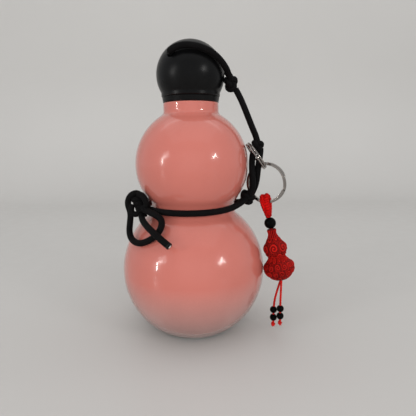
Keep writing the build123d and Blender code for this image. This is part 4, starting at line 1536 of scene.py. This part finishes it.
# %% Routes of the strings
TASSEL_BEAD_R, TASSEL_BORE_R = 0.0025, 0.0008
STRING_GAP, TASSEL_GAP, STRING_SPREAD = 0.0005, 0.0005, 0.0008
STRING_OUT_SHARE, STRING_BEND_SHARE = 0.66, 0.48
STRINGS = {  # side, front, front at the start, drops of the beads, drop of the knot, first bead, seed
    "right": (-0.0006, 0.0019, STRING_SPREAD, (0.0213, 0.0267), 0.0306, 1, 5),
    "left": (-0.0048, -0.0011, -STRING_SPREAD, (0.0233, 0.0291), 0.033, 3, 9),
}


def below_pendant(side, front, drop):
    """A place under the pendant, by how far it lies to the side, to the front and below."""
    return tassel_pivot + Vector((side, -front, -drop))


def string_route(side, front, start_front, bead_top, knot_drop):
    """A string's route: out of the pendant, apart from the other string, then straight down."""
    mid_front = start_front + (front - start_front) * STRING_OUT_SHARE
    return [tuple(below_pendant(*place)) for place in (
        (0, start_front, TASSEL_GAP),
        (side * STRING_OUT_SHARE, mid_front, bead_top * STRING_BEND_SHARE),
        (side, front, bead_top - TASSEL_BEAD_R - STRING_GAP),
        (side, front, knot_drop))]


print("the tassel starts at", [round(c, 4) for c in tassel_pivot])

# %% [markdown]
# A string is two plies, wound round each other. It starts narrow where it leaves the pendant, so
# that it clears the pendant's foot when the tassel swings.

# %% Tassel
STRING_STEP, STRING_SIDES, STRING_DEPTH, STRING_LAY = 0.00016, 20, 0.00028, 0.0024
NARROW_START, NARROW_SHARE = 0.3, 0.03


def two_ply(angle, run):
    """How high a thin string of two plies stands."""
    return twisted(angle, run, 2, STRING_LAY)


def narrow_start(share):
    """A string's width along its length, as a share of its full width."""
    return np.clip(NARROW_START + share / NARROW_SHARE, 0, 1)


for name, (side, front, start_front, drops, knot_drop, first, seed) in STRINGS.items():
    line = route_line(string_route(side, front, start_front, drops[0], knot_drop))
    spaced = even_line(line, STRING_STEP)
    made = tube_mesh(spaced, STRING_R, STRING_SIDES, two_ply, STRING_DEPTH, narrow_start)
    string = new_piece(f"string_{name}", made, RED_STRING, keep_relief=True)
    stand_for(string, "tassel", f"tassel_string_{name}")
    for number, drop in enumerate(drops, start=first):
        place = Matrix.Translation(below_pendant(side, front, drop))
        fine_bead(f"small_bead_{number}", place, TASSEL_BEAD_R, TASSEL_BORE_R, "tassel",
                                   f"tassel_bead_{number}")
    made = end_knot(below_pendant(side, front, knot_drop), random.Random(seed))
    knot = new_piece(f"end_knot_{name}", made, RED_STRING, keep_relief=True)
    stand_for(knot, "tassel", f"tassel_knot_{name}")
    print(f"string {name}: {run_along(line)[-1]:.4f} m")

# %% [markdown]
# The stage is one pale sheet that runs along the floor and curves up behind the bottle, so that
# no line shows between floor and wall. It is slightly glossy, as a painted table is.

# %% Floor and backdrop
STAGE_HALF, STAGE_FRONT, STAGE_BACK, STAGE_BEND, STAGE_TOP = 1.6, -1.2, 0.55, 0.35, 1.5
BEND_START, BEND_POINTS = 0.1, 16


def stage_finish():
    """Pale paint, a little cloudy."""
    material, tree, shader = finish("pale_stage", Specular_IOR_Level=0.2)
    cloud = noise(tree, scale=3.0, detail=3.0)
    tone = mixed(tree, cloud, (0.55, 0.54, 0.522, 1), (0.59, 0.58, 0.562, 1))
    tree.links.new(tone, shader.inputs["Base Color"])
    grained(tree, shader, scale=120.0, low=0.34, high=0.42, depth=0.00002)
    return material


side_view = [(STAGE_FRONT, 0.0), (STAGE_BACK, 0.0)]
side_view += [(STAGE_BACK + STAGE_BEND * sin(angle), STAGE_BEND * (1 - cos(angle)))
              for angle in np.linspace(BEND_START, pi / 2, BEND_POINTS)]
side_view += [(STAGE_BACK + STAGE_BEND, STAGE_TOP)]
sheet_points = [(x, y, z) for y, z in side_view for x in (-STAGE_HALF, STAGE_HALF)]
sheet_faces = [(2 * i, 2 * i + 1, 2 * i + 3, 2 * i + 2) for i in range(len(side_view) - 1)]
stage = mesh_object("stage", (sheet_points, sheet_faces, None), stage_finish())
print("the stage has", len(sheet_faces), "faces")

# %% [markdown]
# Gloss is read from what it mirrors, and the bulbs mirror a room: a window low on the left with
# its sill and curtain, and four narrow panes on the right. Each is a lamp, set where a ray from
# the camera goes after it meets the glass at that bright spot. An image of a room would give them
# too, but lamps can be placed one by one.

# %% Windows
LAMP_COLOR = (1.0, 0.985, 0.965)
BOTTLE_AIM = Vector((0, 0, 0.09))
PANE_DISTANCE = 1.3


def window(name, away, distance, width, height, watts, turn=0.0, aim=BOTTLE_AIM):
    """A soft lamp in a direction from the bottle, or from another aim, facing it."""
    lamp = bpy.data.lights.new(name, "AREA")
    lamp.shape = "RECTANGLE"
    lamp.size, lamp.size_y, lamp.energy = width, height, watts
    lamp.color = LAMP_COLOR
    holder = bpy.data.objects.new(name, lamp)
    direction = Vector(away).normalized()
    turned = direction.to_track_quat("Z", "Y").to_matrix() @ Matrix.Rotation(turn, 3, "Z")
    holder.matrix_world = Matrix.Translation(aim + direction * distance) @ turned.to_4x4()
    bpy.context.scene.collection.objects.link(holder)
    return holder


LEFT_LAMPS = [  # name, direction, distance, width, height, watts, turn
    ("left_window", (-0.83, -0.53, 0.14), 1.3, 0.028, 0.24, 1.7, 0.06),
    ("left_sill", (-0.79, -0.57, 0.27), 1.35, 0.2, 0.07, 0.35, 0.5),
    ("left_curtain", (-0.74, -0.6, 0.33), 1.35, 0.3, 0.26, 0.7, 0.5)]
RIGHT_PANES = [  # azimuth and rise in degrees, width, height, watts, turn
    (42.6, 15.2, 0.024, 0.09, 0.4, -0.1), (45.4, 16.0, 0.022, 0.12, 0.5, -0.15),
    (48.9, 18.6, 0.04, 0.16, 1.1, -0.5), (52.8, 15.2, 0.018, 0.1, 0.3, 0.6)]
for lamp_values in LEFT_LAMPS:
    window(*lamp_values)
for azimuth, rise, width, height, watts, turn in RIGHT_PANES:
    away = (sin(radians(azimuth)), -cos(radians(azimuth)), tan(radians(rise)))
    window("right_pane", away, PANE_DISTANCE, width, height, watts, turn)
print("lamps for the windows:", len(bpy.data.lights))

# %% [markdown]
# The rest of the light is soft and even, as in a bright room: a wide ceiling, a wash on the wall
# behind, a broad fill from the camera's side and the world's own pale light. The fill is hidden
# from mirrors, because the bulbs show no such bright sheet in front of them.

# %% Room light
WORLD_COLOR, WORLD_STRENGTH = (0.97, 0.98, 1.0, 1), 0.6
WALL_AIM = Vector((0, 0.9, 0.62))
window("ceiling", (0, -0.1, 1.0), distance=2.1, width=3.2, height=3.0, watts=9)
window("wall_wash", (0, -0.6, 0.65), distance=0.9, width=2.2, height=0.3, watts=1.6, aim=WALL_AIM)
room_fill = window("room_fill", (0.05, -0.92, 0.2), distance=1.7, width=1.6, height=1.0, watts=13)
room_fill.visible_glossy = False
world = bpy.data.worlds.new("room")
bpy.context.scene.world = world
world.use_nodes = True
background = world.node_tree.nodes["Background"]
background.inputs["Color"].default_value = WORLD_COLOR
background.inputs["Strength"].default_value = WORLD_STRENGTH
print("lamps in all:", len(bpy.data.lights))
